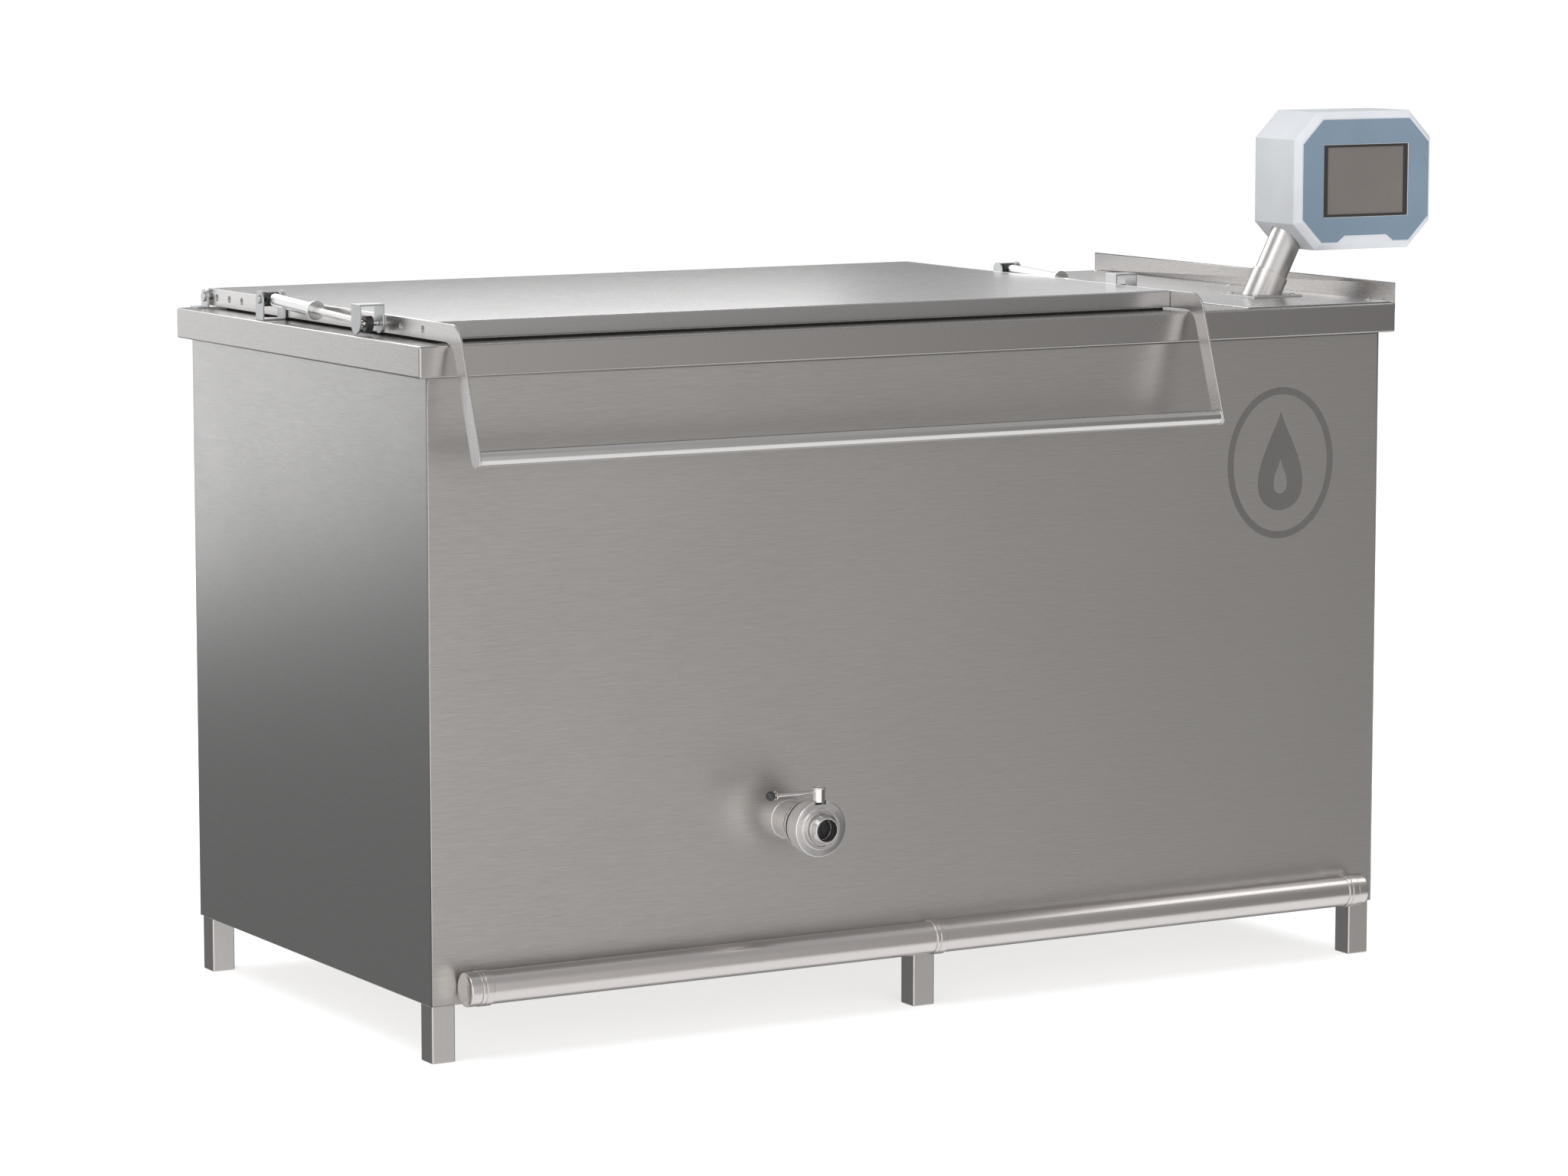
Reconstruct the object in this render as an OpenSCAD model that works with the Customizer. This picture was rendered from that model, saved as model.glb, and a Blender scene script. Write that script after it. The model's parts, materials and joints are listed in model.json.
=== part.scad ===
// Bulk milk tank: a stainless vat in an insulated rectangular casing on six legs.
// A lift-up lid on two side arms covers the vat, a butterfly valve drains it at the front,
// a chilled-water header runs along the foot, and a leaning post carries the control box.
// Every piece is placed in tank coordinates: X to the right, Y to the back and Z up, measured
// from the floor below the casing's front left corner. framed() then moves the whole tank so
// that its origin is at the middle of its bounding box, on the floor.

/* [Casing] */
// Length of the casing, left to right
body_l = 1800; // [1500:10:2400]
// Width of the casing, front to back
body_w = 883; // [735:1:1070]
// Height of the casing panels
body_h = 981; // [815:1:1180]
// Thickness of the casing sheets
sheet = 2; // [1.5:0.1:2.5]
// Clear height under the casing
leg_h = 92; // [70:1:140]
// Side of the square leg tube
leg_s = 40; // [32:1:48]
// Wall of the square tubes
leg_wall = 3; // [2:0.5:4]
// Distance of the legs from the casing's edges
leg_inset = 3; // [2:1:8]

/* [Rim] */
// How far the rim stands out past the casing
rim_over = 20; // [14:1:26]
// Height of the rim's skirt
rim_h = 50; // [40:1:65]
// Width of the lip under the rim, which rests on the casing
rim_lip = 32; // [30:1:40]
// Height of the upstand at the right end
upstand_h = 34; // [20:1:50]

/* [Vat] */
// Thickness of the vat's sheet
vat_wall = 2; // [1.5:0.1:3]
// Foam space between the vat and the casing
foam_t = 61; // [45:1:75]
// Inner radius along the vat's bottom edges
vat_r = 12; // [8:1:20]
// Fall of the vat's floor towards the outlet, in degrees
vat_fall = 2; // [1:0.5:3]
// Thickness of the cooling jacket
jacket_t = 10; // [6:1:12]
// Height of the cooling jacket up the vat's long walls
jacket_h = 350; // [200:10:450]

/* [Lid] */
// Distance from the casing's left end to the lid
lid_x0 = 34; // [32:1:50]
// Length of the fixed deck right of the lid
deck_l = 403; // [380:1:460]
// Distance of the lid's front edge behind the casing's front
lid_inset = 35; // [20:1:40]
// How far the lid's rear edge stands out past the hinge axis
lid_tail = 2; // [1:0.5:6]
// Height of the lid's edge flange
lid_h = 28.5; // [26:0.5:34]
// Gap between the rim and the lid
lid_gap = 4; // [3.5:0.5:6]
// Thickness of the lid's sheets
lid_sheet = 1.5; // [1:0.1:2]
// Width of the seal under the lid
seal_w = 14; // [10:1:16]

/* [Arms and handle] */
// Thickness of the side arms
arm_t = 4; // [3:0.5:6]
// Distance of the arms' knee in front of the rim
knee_out = 22; // [20:1:34]
// Radius outside the knee
knee_r_out = 38; // [30:1:44]
// Radius inside the knee
knee_r_in = 34; // [24:1:36]
// Distance of the handle in front of the rim
handle_out = 87; // [75:1:110]
// Distance of the handle below the arms' straight bars
handle_drop = 186; // [150:1:230]
// Diameter of the handle tube
handle_d = 25; // [20:0.5:28]
// Wall of the handle tube
handle_wall = 1.5; // [1:0.1:2.5]
// Diameter of the round holes in the arms
arm_hole_d = 11; // [6:0.5:14]

/* [Hinges and dampers] */
// Diameter of the hinge pins
hinge_pin_d = 10; // [8:0.5:12]
// Distance from the hinge axis forward to the damper clevis
clevis_back = 300; // [260:5:360]
// Distance from the hinge axis forward to the lid bracket
bracket_back = 662; // [620:2:680]
// Height of the clevis pin above the rim
clevis_pin_h = 34; // [30:1:40]
// Diameter of the damper pins
damper_pin_d = 8; // [6:0.5:10]
// Diameter of the damper cylinder
damper_d = 22; // [18:0.5:26]
// Diameter of the damper rod
damper_rod_d = 11; // [8:0.5:13]
// Distance from the clevis pin to the end of the damper cylinder
damper_body_l = 171; // [160:1:180]
// Thickness of the clevis and bracket plates
ear_t = 3; // [2.5:0.5:4]
// Clear width between the ears of a clevis
ear_gap = 35.5; // [34:0.5:38]

/* [Outlet] */
// Distance of the outlet from the casing's left end
outlet_x = 641; // [400:1:900]
// Height of the outlet's axis above the casing's bottom edge
outlet_h = 241; // [200:1:300]
// Bore of the outlet
flow_d = 35; // [30:0.5:36]
// Bore of the nozzle's mouth
mouth_d = 36; // [36:0.5:40]
// Outer diameter of the outlet tube
outlet_tube_d = 41; // [40:0.5:46]
// Outer diameter of the sleeve in front of the casing
sleeve_d = 62; // [56:1:66]
// Outer diameter of the valve body
valve_d = 92; // [86:1:110]
// Distance of the nozzle's end in front of the casing
nozzle_out = 125; // [122:1:150]
// Diameter of the valve's stem
stem_d = 8; // [6:0.5:9]
// Reach of the valve's lever from the stem to the knob's centre
lever_l = 88; // [70:1:120]
// Diameter of the lever's knob
knob_d = 16; // [14:0.5:22]

/* [Water header] */
// Outer diameter of the header pipe
header_d = 52.5; // [44:0.5:56]
// Wall of the header pipe
header_wall = 2; // [1.5:0.5:3]
// Height of the header's axis above the casing's bottom edge
header_h = 28; // [25:1:30]
// Diameter of the stub pipes between the header and the cooling jacket
stub_d = 24; // [18:0.5:26]

/* [Control box] */
// Outer diameter of the post
post_d = 57; // [48:1:60]
// Lean of the post from upright, in degrees
post_lean = 27.5; // [20:0.5:32]
// Distance of the post from the casing's right end
post_back = 100; // [90:1:120]
// Distance of the post from the casing's front
post_y = 202; // [150:1:300]
// Side of the post's base plate
plate_s = 100; // [96:1:120]
// Width of the control box
box_w = 288; // [260:1:340]
// Height of the control box
box_h = 237; // [210:1:280]
// Depth of the control box
box_d = 124; // [100:1:150]
// Corner chamfer of the control box
box_c = 46; // [40:1:52]
// Wall of the control box
box_wall = 3; // [2:0.5:4]
// Width of the screen
screen_w = 160; // [130:1:170]
// Height of the screen
screen_h = 115; // [90:1:125]
// Border around the screen
screen_border = 9; // [4:0.5:10]

/* [Hidden] */
$fn = 64;

fit = 0.3;       // gap between pieces that are assembled loosely
run = 0.05;      // radial clearance of a pin that turns in its hole
cut = 5;         // how far a cutting shape runs past what it cuts
steel = "#b4b2ae";
bright_steel = "#cfcfcd";
black = "#1c1c1e";
foam = "#e6dfb8";

// Heights
casing_z = leg_h + body_h;
rim_z = casing_z + rim_h;
lid_z = rim_z + lid_gap;
hinge_z = lid_z + lid_h / 2;

// Legs and base frame
leg_xs = [leg_inset, (body_l - leg_s) / 2, body_l - leg_inset - leg_s];
leg_ys = [leg_inset, body_w - leg_inset - leg_s];
foot_t = 4;
frame_z = leg_h + sheet;
frame_top = frame_z + leg_s;

// Lid, hatch and vat, seen from above
lid_x1 = body_l - deck_l;
lid_y0 = lid_inset;
hinge_y = body_w;
lid_y1 = hinge_y + lid_tail;
lid_cover = 30;      // how far the lid reaches past the vat at its ends
vat_x0 = foam_t + sheet + vat_wall;
vat_x1 = lid_x1 - lid_cover;
vat_y0 = foam_t + sheet + vat_wall;
vat_y1 = body_w - vat_y0;
vat_top = rim_z - sheet;
partition_x = vat_x1 + vat_wall + foam_t;
seal_edge = 9;       // from the lid's edge to the seal
seal_back = 6;       // from the vat's rear wall to the seal

// Outlet and valve; reaches are measured forward from the casing's front
outlet_z = leg_h + outlet_h;
vat_floor_z = outlet_z - flow_d / 2;
sleeve_end = nozzle_out - 71;
flange_end = nozzle_out - 62.5;
gasket_end = nozzle_out - 59;
body_end = nozzle_out - 21;
stem_out = body_end - 7;
valve_r = valve_d / 2;
flange_r = valve_r - 6;
hub_ring_h = 3.5;
nozzle_r = 25;
lip_w = 2.5;
notch_z = valve_r - 7;
grip_z0 = valve_r - 3.6;
grip_h = 22.6;
grip_r = stem_d / 2 + 4.5;
lever_z = outlet_z + grip_z0 + 16.6;
lever_r = 2.8;       // at the knob
lever_tip_r = 2.1;   // at the grip
disc_t = 3;

// Water header
header_y = -(header_d / 2 + 2.75);
header_z = leg_h + header_h;
header_x0 = leg_xs[0] + leg_s - 1.5;
header_x1 = body_l - header_x0;
header_mid = (header_x0 + header_x1) / 2;
cap_l = 15.5;
ring_l = 20;
ring_t = 1.8;
riser_y = vat_y0 + 45;
stub_xs = [header_x0 + 150, header_mid - 150, header_mid + 90, vat_x1 - 60];

// Arms and handle, in the plane of Y and Z
arm_half = lid_h / 2;
knee = [-rim_over - knee_out, hinge_z];
handle = [-rim_over - handle_out, hinge_z - handle_drop];
lean = atan((handle_out - knee_out) / handle_drop);
turn = 90 - lean;
rear_hole_step = 50;
rear_holes = [for (i = [0:2]) hinge_y - 35 - i * rear_hole_step];
front_holes = [lid_y0 + 35, lid_y0 + 112];

// Dampers: they lie in a plane just outside each arm
pair_x = lid_x0 - arm_t;
damper_x = pair_x - 4.5 - ear_gap / 2;
clevis_y = hinge_y - clevis_back;
clevis_z = rim_z + clevis_pin_h;
bracket_y = hinge_y - bracket_back;
damper_run = clevis_y - bracket_y;
damper_drop = clevis_z - hinge_z;
damper_l = sqrt(damper_run * damper_run + damper_drop * damper_drop);
damper_fall = atan(damper_drop / damper_run);
damper_wall = 2;
piston_s = 28;
// The front pin fills the lid bracket's clear width, less a gap at each end
rod_pin_l = pair_x - ear_t - (damper_x - ear_gap / 2) - 2 * fit;
gland_l = 11;
hinge_ear_t = 4;
hinge_ear_r = 13;
clevis_ear_r = 14;
bracket_ear_r = 16;
pin_head_t = 3;

// Deck and control box
deck_t = 2;
deck_x0 = body_l - 278;
deck_x1 = body_l + rim_over - 5;
deck_y0 = -rim_over + 8;
deck_y1 = body_w + rim_over - 8;
bay_x0 = deck_x0 + 53;
bay_x1 = body_l - rim_over;
bay_y0 = 50;
bay_y1 = body_w - bay_y0;
deck_screw_xs = [deck_x0 + 35, deck_x1 - 15];
deck_screw_ys = [deck_y0 + 42, body_w / 2, deck_y1 - 25];
deck_z = rim_z + deck_t;
post_x = body_l - post_back;
plate_t = 3;
plate_screw = plate_s / 2 - 12;
collar_l = 30;
collar_t = 3;
post_wall = 2;
// How far the post runs on into the box
post_in = 25;
post_l = 105.3;
// The post meets the box's lower left chamfer a little below the chamfer's middle
post_shift = 5.6;
box_x0 = post_x + post_l * sin(post_lean) - box_c / 2 - post_shift;
box_z0 = deck_z + plate_t + post_l * cos(post_lean) - box_c / 2 + post_shift;
box_y0 = post_y - 72;
box_bevel = 10;
box_x1 = box_x0 + box_w;
box_cx = box_x0 + box_w / 2;
box_cz = box_z0 + box_h / 2;
face_w = box_w - 22;
face_h = box_h - 26;
face_c = box_c - 5;
face_t = 2;
glass_t = 3;
board_y = box_y0 + 24;
board_w = 210;
board_h = 130;
board_t = 1.6;
chip_s = 28;
board_hole = 7;      // from the board's edges to its posts
board_post_d = 8;
notch_w = 120;       // notch in the face plate's lower edge
notch_h = 11;
notch_slope = 16;

// The tank's bounding box gives its origin
front_reach = max(nozzle_out, rim_over + handle_out + arm_half);
mid_x = (box_x1 - rim_over) / 2;
mid_y = (body_w + rim_over - front_reach) / 2;

// ---- helpers ----

module framed() translate([-mid_x, -mid_y, 0]) children();

// The right-hand copy of a piece that belongs to the lid
module mirrored() translate([lid_x0 + lid_x1, 0, 0]) mirror([1, 0, 0]) children();

// A block between two opposite corners
module block(a, b) translate(a) cube(b - a);

module rod_x(x0, x1, y, z, r) translate([x0, y, z]) rotate([0, 90, 0]) cylinder(h = x1 - x0, r = r);

module rod_z(z0, z1, x, y, r) translate([x, y, z0]) cylinder(h = z1 - z0, r = r);

// Turns a profile of radius and reach about the outlet's axis
module outlet_turned(points) translate([outlet_x, 0, outlet_z]) rotate([90, 0, 0])
    rotate_extrude() polygon(points);

// Carries a shape drawn in the plane of Y and Z along X
module along_x(x0, x1) translate([x0, 0, 0]) rotate([90, 0, 90]) linear_extrude(x1 - x0) children();

function arc(c, r, a0, a1, n) =
    [for (i = [0:n]) let (a = a0 + (a1 - a0) * i / n) c + r * [cos(a), sin(a)]];

// Height of the vat's floor at y, on a surface g outside its inner face
function floor_z(y, g) = vat_floor_z + (y - vat_y0) * tan(vat_fall) - g / cos(vat_fall);

// ---- casing ----

module stub_holes(y0, y1) for (x = stub_xs)
    translate([x, y1, header_z]) rotate([90, 0, 0]) cylinder(h = y1 - y0, d = stub_d + 2 * fit);

module front_panel() color(steel) framed() difference() {
    block([0, 0, leg_h], [body_l, sheet, casing_z]);
    translate([outlet_x, sheet + cut, outlet_z]) rotate([90, 0, 0])
        cylinder(h = sheet + 2 * cut, d = outlet_tube_d + 2 * fit);
    stub_holes(-cut, sheet + cut);
}

module rear_panel() color(steel) framed()
    block([0, body_w - sheet, leg_h], [body_l, body_w, casing_z]);

module side_panel(x) color(steel) framed()
    block([x, sheet, leg_h], [x + sheet, body_w - sheet, casing_z]);

module base_pan() color(steel) framed()
    block([sheet, sheet, leg_h], [body_l - sheet, body_w - sheet, leg_h + sheet]);

// Long rails are square tubes, and the cross rails are channels open at the bottom
module base_frame() color(steel) framed() difference() {
    union() {
        for (y = leg_ys) difference() {
            block([leg_xs[0], y, frame_z], [leg_xs[2] + leg_s, y + leg_s, frame_top]);
            block([leg_xs[0] - cut, y + leg_wall, frame_z + leg_wall],
                  [leg_xs[2] + leg_s + cut, y + leg_s - leg_wall, frame_top - leg_wall]);
        }
        for (x = leg_xs) difference() {
            block([x, leg_ys[0] + leg_s, frame_z], [x + leg_s, leg_ys[1], frame_top]);
            block([x + leg_wall, leg_ys[0] + leg_s, frame_z - cut],
                  [x + leg_s - leg_wall, leg_ys[1], frame_top - leg_wall]);
        }
    }
    stub_holes(leg_ys[0] - cut, leg_ys[0] + leg_s + cut);
}

module leg(x, y) color(steel) framed() difference() {
    block([x, y, 0], [x + leg_s, y + leg_s, leg_h]);
    block([x + leg_wall, y + leg_wall, foot_t],
          [x + leg_s - leg_wall, y + leg_s - leg_wall, leg_h + cut]);
}

module bay_partition() color(steel) framed()
    block([partition_x, sheet, frame_top], [partition_x + sheet, body_w - sheet, casing_z]);

// ---- vat ----

// Section of the vat, grown outwards by g and cut off at the height top
module vat_section(g, top) {
    r = vat_r + g;
    y0 = vat_y0 - g;
    y1 = vat_y1 + g;
    front = [y0 + r, floor_z(y0 + r, g) + r / cos(vat_fall)];
    rear = [y1 - r, floor_z(y1 - r, g) + r / cos(vat_fall)];
    down = r * [sin(vat_fall), -cos(vat_fall)];
    polygon([[y0, top], [y0, front[1]], front + down, rear + down, [y1, rear[1]], [y1, top]]);
    translate(front) circle(r);
    translate(rear) circle(r);
}

module vat_block(g, x_grow, top) along_x(vat_x0 - x_grow, vat_x1 + x_grow) vat_section(g, top);

// The hollow in the foam has square corners
module foam_hollow(g, x_grow, top) along_x(vat_x0 - x_grow, vat_x1 + x_grow) polygon([
    [vat_y0 - g, top], [vat_y0 - g, floor_z(vat_y0 - g, g)],
    [vat_y1 + g, floor_z(vat_y1 + g, g)], [vat_y1 + g, top]
]);

module outlet_hole(y0, y1, d) translate([outlet_x, y1, outlet_z]) rotate([90, 0, 0])
    cylinder(h = y1 - y0, d = d);

module inner_tank() color(bright_steel) framed() difference() {
    vat_block(vat_wall, vat_wall, vat_top);
    vat_block(0, 0, vat_top + cut);
    outlet_hole(0, vat_y0 + vat_r + 2, flow_d);
}

module cooling_jacket() color(bright_steel) framed() difference() {
    vat_block(vat_wall + fit + jacket_t, -30, vat_floor_z + jacket_h);
    vat_block(vat_wall + fit, cut, vat_top);
    outlet_hole(0, vat_y0 + vat_r + 2, outlet_tube_d + 2 * fit);
}

module insulation() color(foam) framed() difference() {
    union() {
        block([sheet + fit, sheet + fit, frame_top],
              [partition_x - fit, body_w - sheet - fit, casing_z - fit]);
        block([rim_lip - rim_over + fit, rim_lip - rim_over + fit, casing_z - 2 * fit],
              [partition_x - fit, body_w + rim_over - rim_lip - fit, rim_z - sheet - fit]);
    }
    foam_hollow(vat_wall + jacket_t + 2 * fit, vat_wall + fit, rim_z + cut);
    outlet_hole(0, vat_y0, outlet_tube_d + 2 * fit);
    for (x = stub_xs) rod_z(frame_z, vat_floor_z, x, riser_y, stub_d / 2 + fit);
}

// A folded skirt with a top plate, a lip on the casing and an upstand at the right end
module rim_frame() color(steel) framed() difference() {
    union() {
        difference() {
            block([-rim_over, -rim_over, casing_z], [body_l + rim_over, body_w + rim_over, rim_z]);
            block([sheet - rim_over, sheet - rim_over, casing_z + sheet],
                  [body_l + rim_over - sheet, body_w + rim_over - sheet, rim_z - sheet]);
            block([rim_lip - rim_over, rim_lip - rim_over, casing_z - cut],
                  [body_l + rim_over - rim_lip, body_w + rim_over - rim_lip, rim_z - sheet]);
        }
        block([body_l + rim_over - sheet, -rim_over, rim_z - sheet],
              [body_l + rim_over, body_w + rim_over, rim_z + upstand_h]);
    }
    block([vat_x0, vat_y0, rim_z - sheet - cut], [vat_x1, vat_y1, rim_z + cut]);
    block([bay_x0, bay_y0, rim_z - sheet - cut], [bay_x1, bay_y1, rim_z + cut]);
    deck_screw_places() rod_z(rim_z - cut, rim_z + cut, 0, 0, 2.5 + fit);
}

module lid_seal() color(black) framed() difference() {
    block([lid_x0 + seal_edge, lid_y0 + seal_edge, rim_z],
          [lid_x1 - seal_edge, vat_y1 + seal_back + seal_w, lid_z - fit]);
    block([lid_x0 + seal_edge + seal_w, lid_y0 + seal_edge + seal_w, rim_z - cut],
          [lid_x1 - seal_edge - seal_w, vat_y1 + seal_back, lid_z + cut]);
}

// ---- outlet and valve ----

module outlet_pipe() color(bright_steel) framed() difference() {
    outlet_turned([
        [flow_d / 2, -(vat_y0 + vat_r)], [outlet_tube_d / 2, -(vat_y0 + vat_r)],
        [outlet_tube_d / 2, 0], [sleeve_d / 2, 0], [sleeve_d / 2, sleeve_end],
        [flange_r, sleeve_end + 4], [flange_r, flange_end], [flow_d / 2, flange_end]
    ]);
    vat_block(vat_wall + fit / 2, cut, vat_top);
}

module valve_gasket() color(black) framed() outlet_turned([
    [flow_d / 2 + 1, flange_end], [flange_r - 3.5, flange_end],
    [flange_r - 3.5, gasket_end], [flow_d / 2 + 1, gasket_end]
]);

// The body widens from the gasket to its front disc, then steps down to the nozzle
module valve_body() color(bright_steel) framed() difference() {
    outlet_turned([
        [flow_d / 2, gasket_end], [flange_r + 1, gasket_end], [valve_r, gasket_end + 20],
        [valve_r, body_end - 1], [valve_r - 1, body_end], [nozzle_r + 8.5, body_end],
        [nozzle_r + 8.5, body_end + hub_ring_h], [nozzle_r + 3.5, body_end + hub_ring_h],
        [nozzle_r + 3.5, body_end], [nozzle_r, body_end], [nozzle_r, nozzle_out - 9],
        [mouth_d / 2 + lip_w, nozzle_out], [mouth_d / 2, nozzle_out],
        [mouth_d / 2, body_end + 1], [flow_d / 2, body_end + 1]
    ]);
    block([outlet_x - grip_r - 2, -body_end - cut, outlet_z + notch_z],
          [outlet_x + grip_r + 2, -stem_out + grip_r + 2, outlet_z + valve_r + cut]);
    rod_z(outlet_z - flow_d / 2 - 8, outlet_z + valve_r + cut, outlet_x, -stem_out, stem_d / 2 + run);
}

module valve_disc() color(bright_steel) framed() {
    rod_z(outlet_z - flow_d / 2 - 7.5, lever_z + 3, outlet_x, -stem_out, stem_d / 2);
    translate([outlet_x, disc_t / 2 - stem_out, outlet_z]) rotate([90, 0, 0])
        cylinder(h = disc_t, r = flow_d / 2 - fit);
}

// A turned grip on the stem, with a rim on top, and the tapered lever rod
module valve_lever() color(bright_steel) framed() difference() {
    union() {
        rod_z(outlet_z + grip_z0, outlet_z + grip_z0 + grip_h, outlet_x, -stem_out, grip_r);
        rod_z(outlet_z + grip_z0 + grip_h - 2, outlet_z + grip_z0 + grip_h, outlet_x, -stem_out,
              grip_r + 1.8);
        translate([outlet_x - lever_l, -stem_out, lever_z]) rotate([0, 90, 0])
            cylinder(h = lever_l - stem_d / 2 - 1, r1 = lever_r, r2 = lever_tip_r);
        rod_x(outlet_x - lever_l + knob_d / 2, outlet_x - lever_l + knob_d / 2 + 2.5, -stem_out,
              lever_z, knob_d / 2 - 1);
    }
    rod_z(outlet_z, lever_z + 3 + fit, outlet_x, -stem_out, stem_d / 2 + run);
}

module valve_knob() color(black) framed() difference() {
    translate([outlet_x - lever_l, -stem_out, lever_z]) rotate([0, 90, 0]) sphere(d = knob_d);
    rod_x(outlet_x - lever_l - fit, outlet_x, -stem_out, lever_z, lever_r + run);
}

// ---- water header ----

module header_pipe(x0, x1) color(bright_steel) framed() difference() {
    rod_x(x0, x1, header_y, header_z, header_d / 2);
    rod_x(x0 - cut, x1 + cut, header_y, header_z, header_d / 2 - header_wall);
    for (x = stub_xs) translate([x, 0, header_z]) rotate([90, 0, 0])
        cylinder(h = -header_y, d = stub_d - 4);
}

module header_pipe_left() header_pipe(header_x0 + cap_l, header_mid);

module header_pipe_right() header_pipe(header_mid + fit, header_x1 - cap_l);

// Three union rings over the pipe ends and the joint, and a cap at each end
module header_fittings() color(bright_steel) framed() {
    for (x = [header_x0 + cap_l, header_mid - ring_l / 2, header_x1 - cap_l - ring_l]) difference() {
        rod_x(x, x + ring_l, header_y, header_z, header_d / 2 + run + ring_t);
        rod_x(x - cut, x + ring_l + cut, header_y, header_z, header_d / 2 + run);
    }
    for (x = [header_x0, header_x1 - cap_l])
        rod_x(x, x + cap_l, header_y, header_z, header_d / 2);
}

// Each stub runs in through the casing, then up to the jacket under the vat
module header_stubs() color(bright_steel) framed() for (x = stub_xs) difference() {
    union() {
        translate([x, riser_y, header_z]) rotate([90, 0, 0])
            cylinder(h = riser_y - header_y, d = stub_d);
        translate([x, riser_y, header_z]) sphere(d = stub_d);
        rod_z(header_z, floor_z(riser_y - stub_d / 2, vat_wall + fit + jacket_t) - fit, x, riser_y,
              stub_d / 2);
    }
    translate([x, riser_y, header_z]) rotate([90, 0, 0])
        cylinder(h = riser_y - header_y + cut, d = stub_d - 4);
    rod_z(header_z, outlet_z, x, riser_y, stub_d / 2 - 2);
    rod_x(x - stub_d, x + stub_d, header_y, header_z, header_d / 2 + run);
}

// ---- lid ----

module lid_panel() color(bright_steel) framed() difference() {
    block([lid_x0, lid_y0, lid_z], [lid_x1, lid_y1, lid_z + lid_h]);
    block([lid_x0 + lid_sheet, lid_y0 + lid_sheet, lid_z - cut],
          [lid_x1 - lid_sheet, lid_y1 - lid_sheet, lid_z + lid_h - lid_sheet]);
}

module lid_insulation() color(foam) framed()
    block([lid_x0 + lid_sheet + fit, lid_y0 + lid_sheet + fit, lid_z + lid_sheet],
          [lid_x1 - lid_sheet - fit, lid_y1 - lid_sheet - fit, lid_z + lid_h - lid_sheet]);

module lid_liner() color(bright_steel) framed()
    block([lid_x0 + lid_sheet, lid_y0 + lid_sheet, lid_z],
          [lid_x1 - lid_sheet, lid_y1 - lid_sheet, lid_z + lid_sheet]);

// Outline of an arm: a straight bar from the hinge, a knee, and a leg down to the handle
module arm_outline() {
    half_turn = tan(turn / 2);
    outer = knee + arm_half * [-half_turn, 1] + knee_r_out * [half_turn, -1];
    inner = knee + arm_half * [half_turn, -1] + knee_r_in * [half_turn, -1];
    polygon(concat(
        arc([hinge_y, hinge_z], arm_half, 90, -90, 20),
        arc(inner, knee_r_in, 90, 90 + turn, 12),
        arc(handle, arm_half, turn - 90, turn - 270, 20),
        arc(outer, knee_r_out, 90 + turn, 90, 12)
    ));
}

module arm_left() color(bright_steel) framed() arm();

module arm_right() color(bright_steel) framed() mirrored() arm();

module arm() difference() {
    along_x(pair_x, lid_x0) arm_outline();
    rod_x(pair_x - cut, lid_x0 + cut, hinge_y, hinge_z, hinge_pin_d / 2 + run);
    for (y = concat(rear_holes, front_holes))
        rod_x(pair_x - cut, lid_x0 + cut, y, hinge_z, arm_hole_d / 2);
}

module handle_tube() color(bright_steel) framed() difference() {
    rod_x(lid_x0, lid_x1, handle[0], handle[1], handle_d / 2);
    rod_x(lid_x0 - cut, lid_x1 + cut, handle[0], handle[1], handle_d / 2 - handle_wall);
}

// A plate in the plane of Y and Z: straight from the height z, round about the pin
module ear(x, y, pin_z, r, z, thick) {
    block([x, y - r, min(z, pin_z)], [x + thick, y + r, max(z, pin_z)]);
    rod_x(x, x + thick, y, pin_z, r);
}

// An upside-down bracket that hangs from its top plate over the damper's front end
module lid_bracket() {
    top = hinge_z + 31;
    x0 = damper_x - ear_gap / 2 - ear_t;
    ear(x0, bracket_y, hinge_z, bracket_ear_r, top, ear_t);
    ear(pair_x - ear_t, bracket_y, hinge_z, bracket_ear_r, top, ear_t);
    block([x0, bracket_y - bracket_ear_r, top - ear_t], [pair_x, bracket_y + bracket_ear_r, top]);
}

module lid_bracket_left() color(steel) framed() lid_bracket();

module lid_bracket_right() color(steel) framed() mirrored() lid_bracket();

// ---- hinges and dampers ----

module hinge_bracket() difference() {
    union() {
        ear(pair_x - 8, hinge_y, hinge_z, hinge_ear_r, rim_z, hinge_ear_t);
        block([lid_x0 - 31, hinge_y - 15, rim_z], [pair_x - 4, hinge_y + 16, rim_z + ear_t]);
    }
    rod_x(0, lid_x0, hinge_y, hinge_z, hinge_pin_d / 2 + run);
}

module hinge_bracket_left() color(steel) framed() hinge_bracket();

module hinge_bracket_right() color(steel) framed() mirrored() hinge_bracket();

module hinge_pin() {
    rod_x(pair_x - 8 - pin_head_t, pair_x - 8, hinge_y, hinge_z, hinge_pin_d / 2 + 3);
    rod_x(pair_x - 8 - pin_head_t, lid_x0 - fit, hinge_y, hinge_z, hinge_pin_d / 2);
}

module hinge_pins() color(bright_steel) framed() {
    hinge_pin();
    mirrored() hinge_pin();
}

module damper_clevis() difference() {
    x0 = damper_x - ear_gap / 2 - ear_t;
    union() {
        for (x = [x0, x0 + ear_gap + ear_t])
            ear(x, clevis_y, clevis_z, clevis_ear_r, rim_z, ear_t);
        block([x0, clevis_y - clevis_ear_r, rim_z],
              [x0 + ear_gap + 2 * ear_t, clevis_y + clevis_ear_r, rim_z + ear_t]);
    }
    rod_x(x0 - cut, pair_x, clevis_y, clevis_z, damper_pin_d / 2 + run);
}

module damper_clevis_left() color(steel) framed() damper_clevis();

module damper_clevis_right() color(steel) framed() mirrored() damper_clevis();

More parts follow.
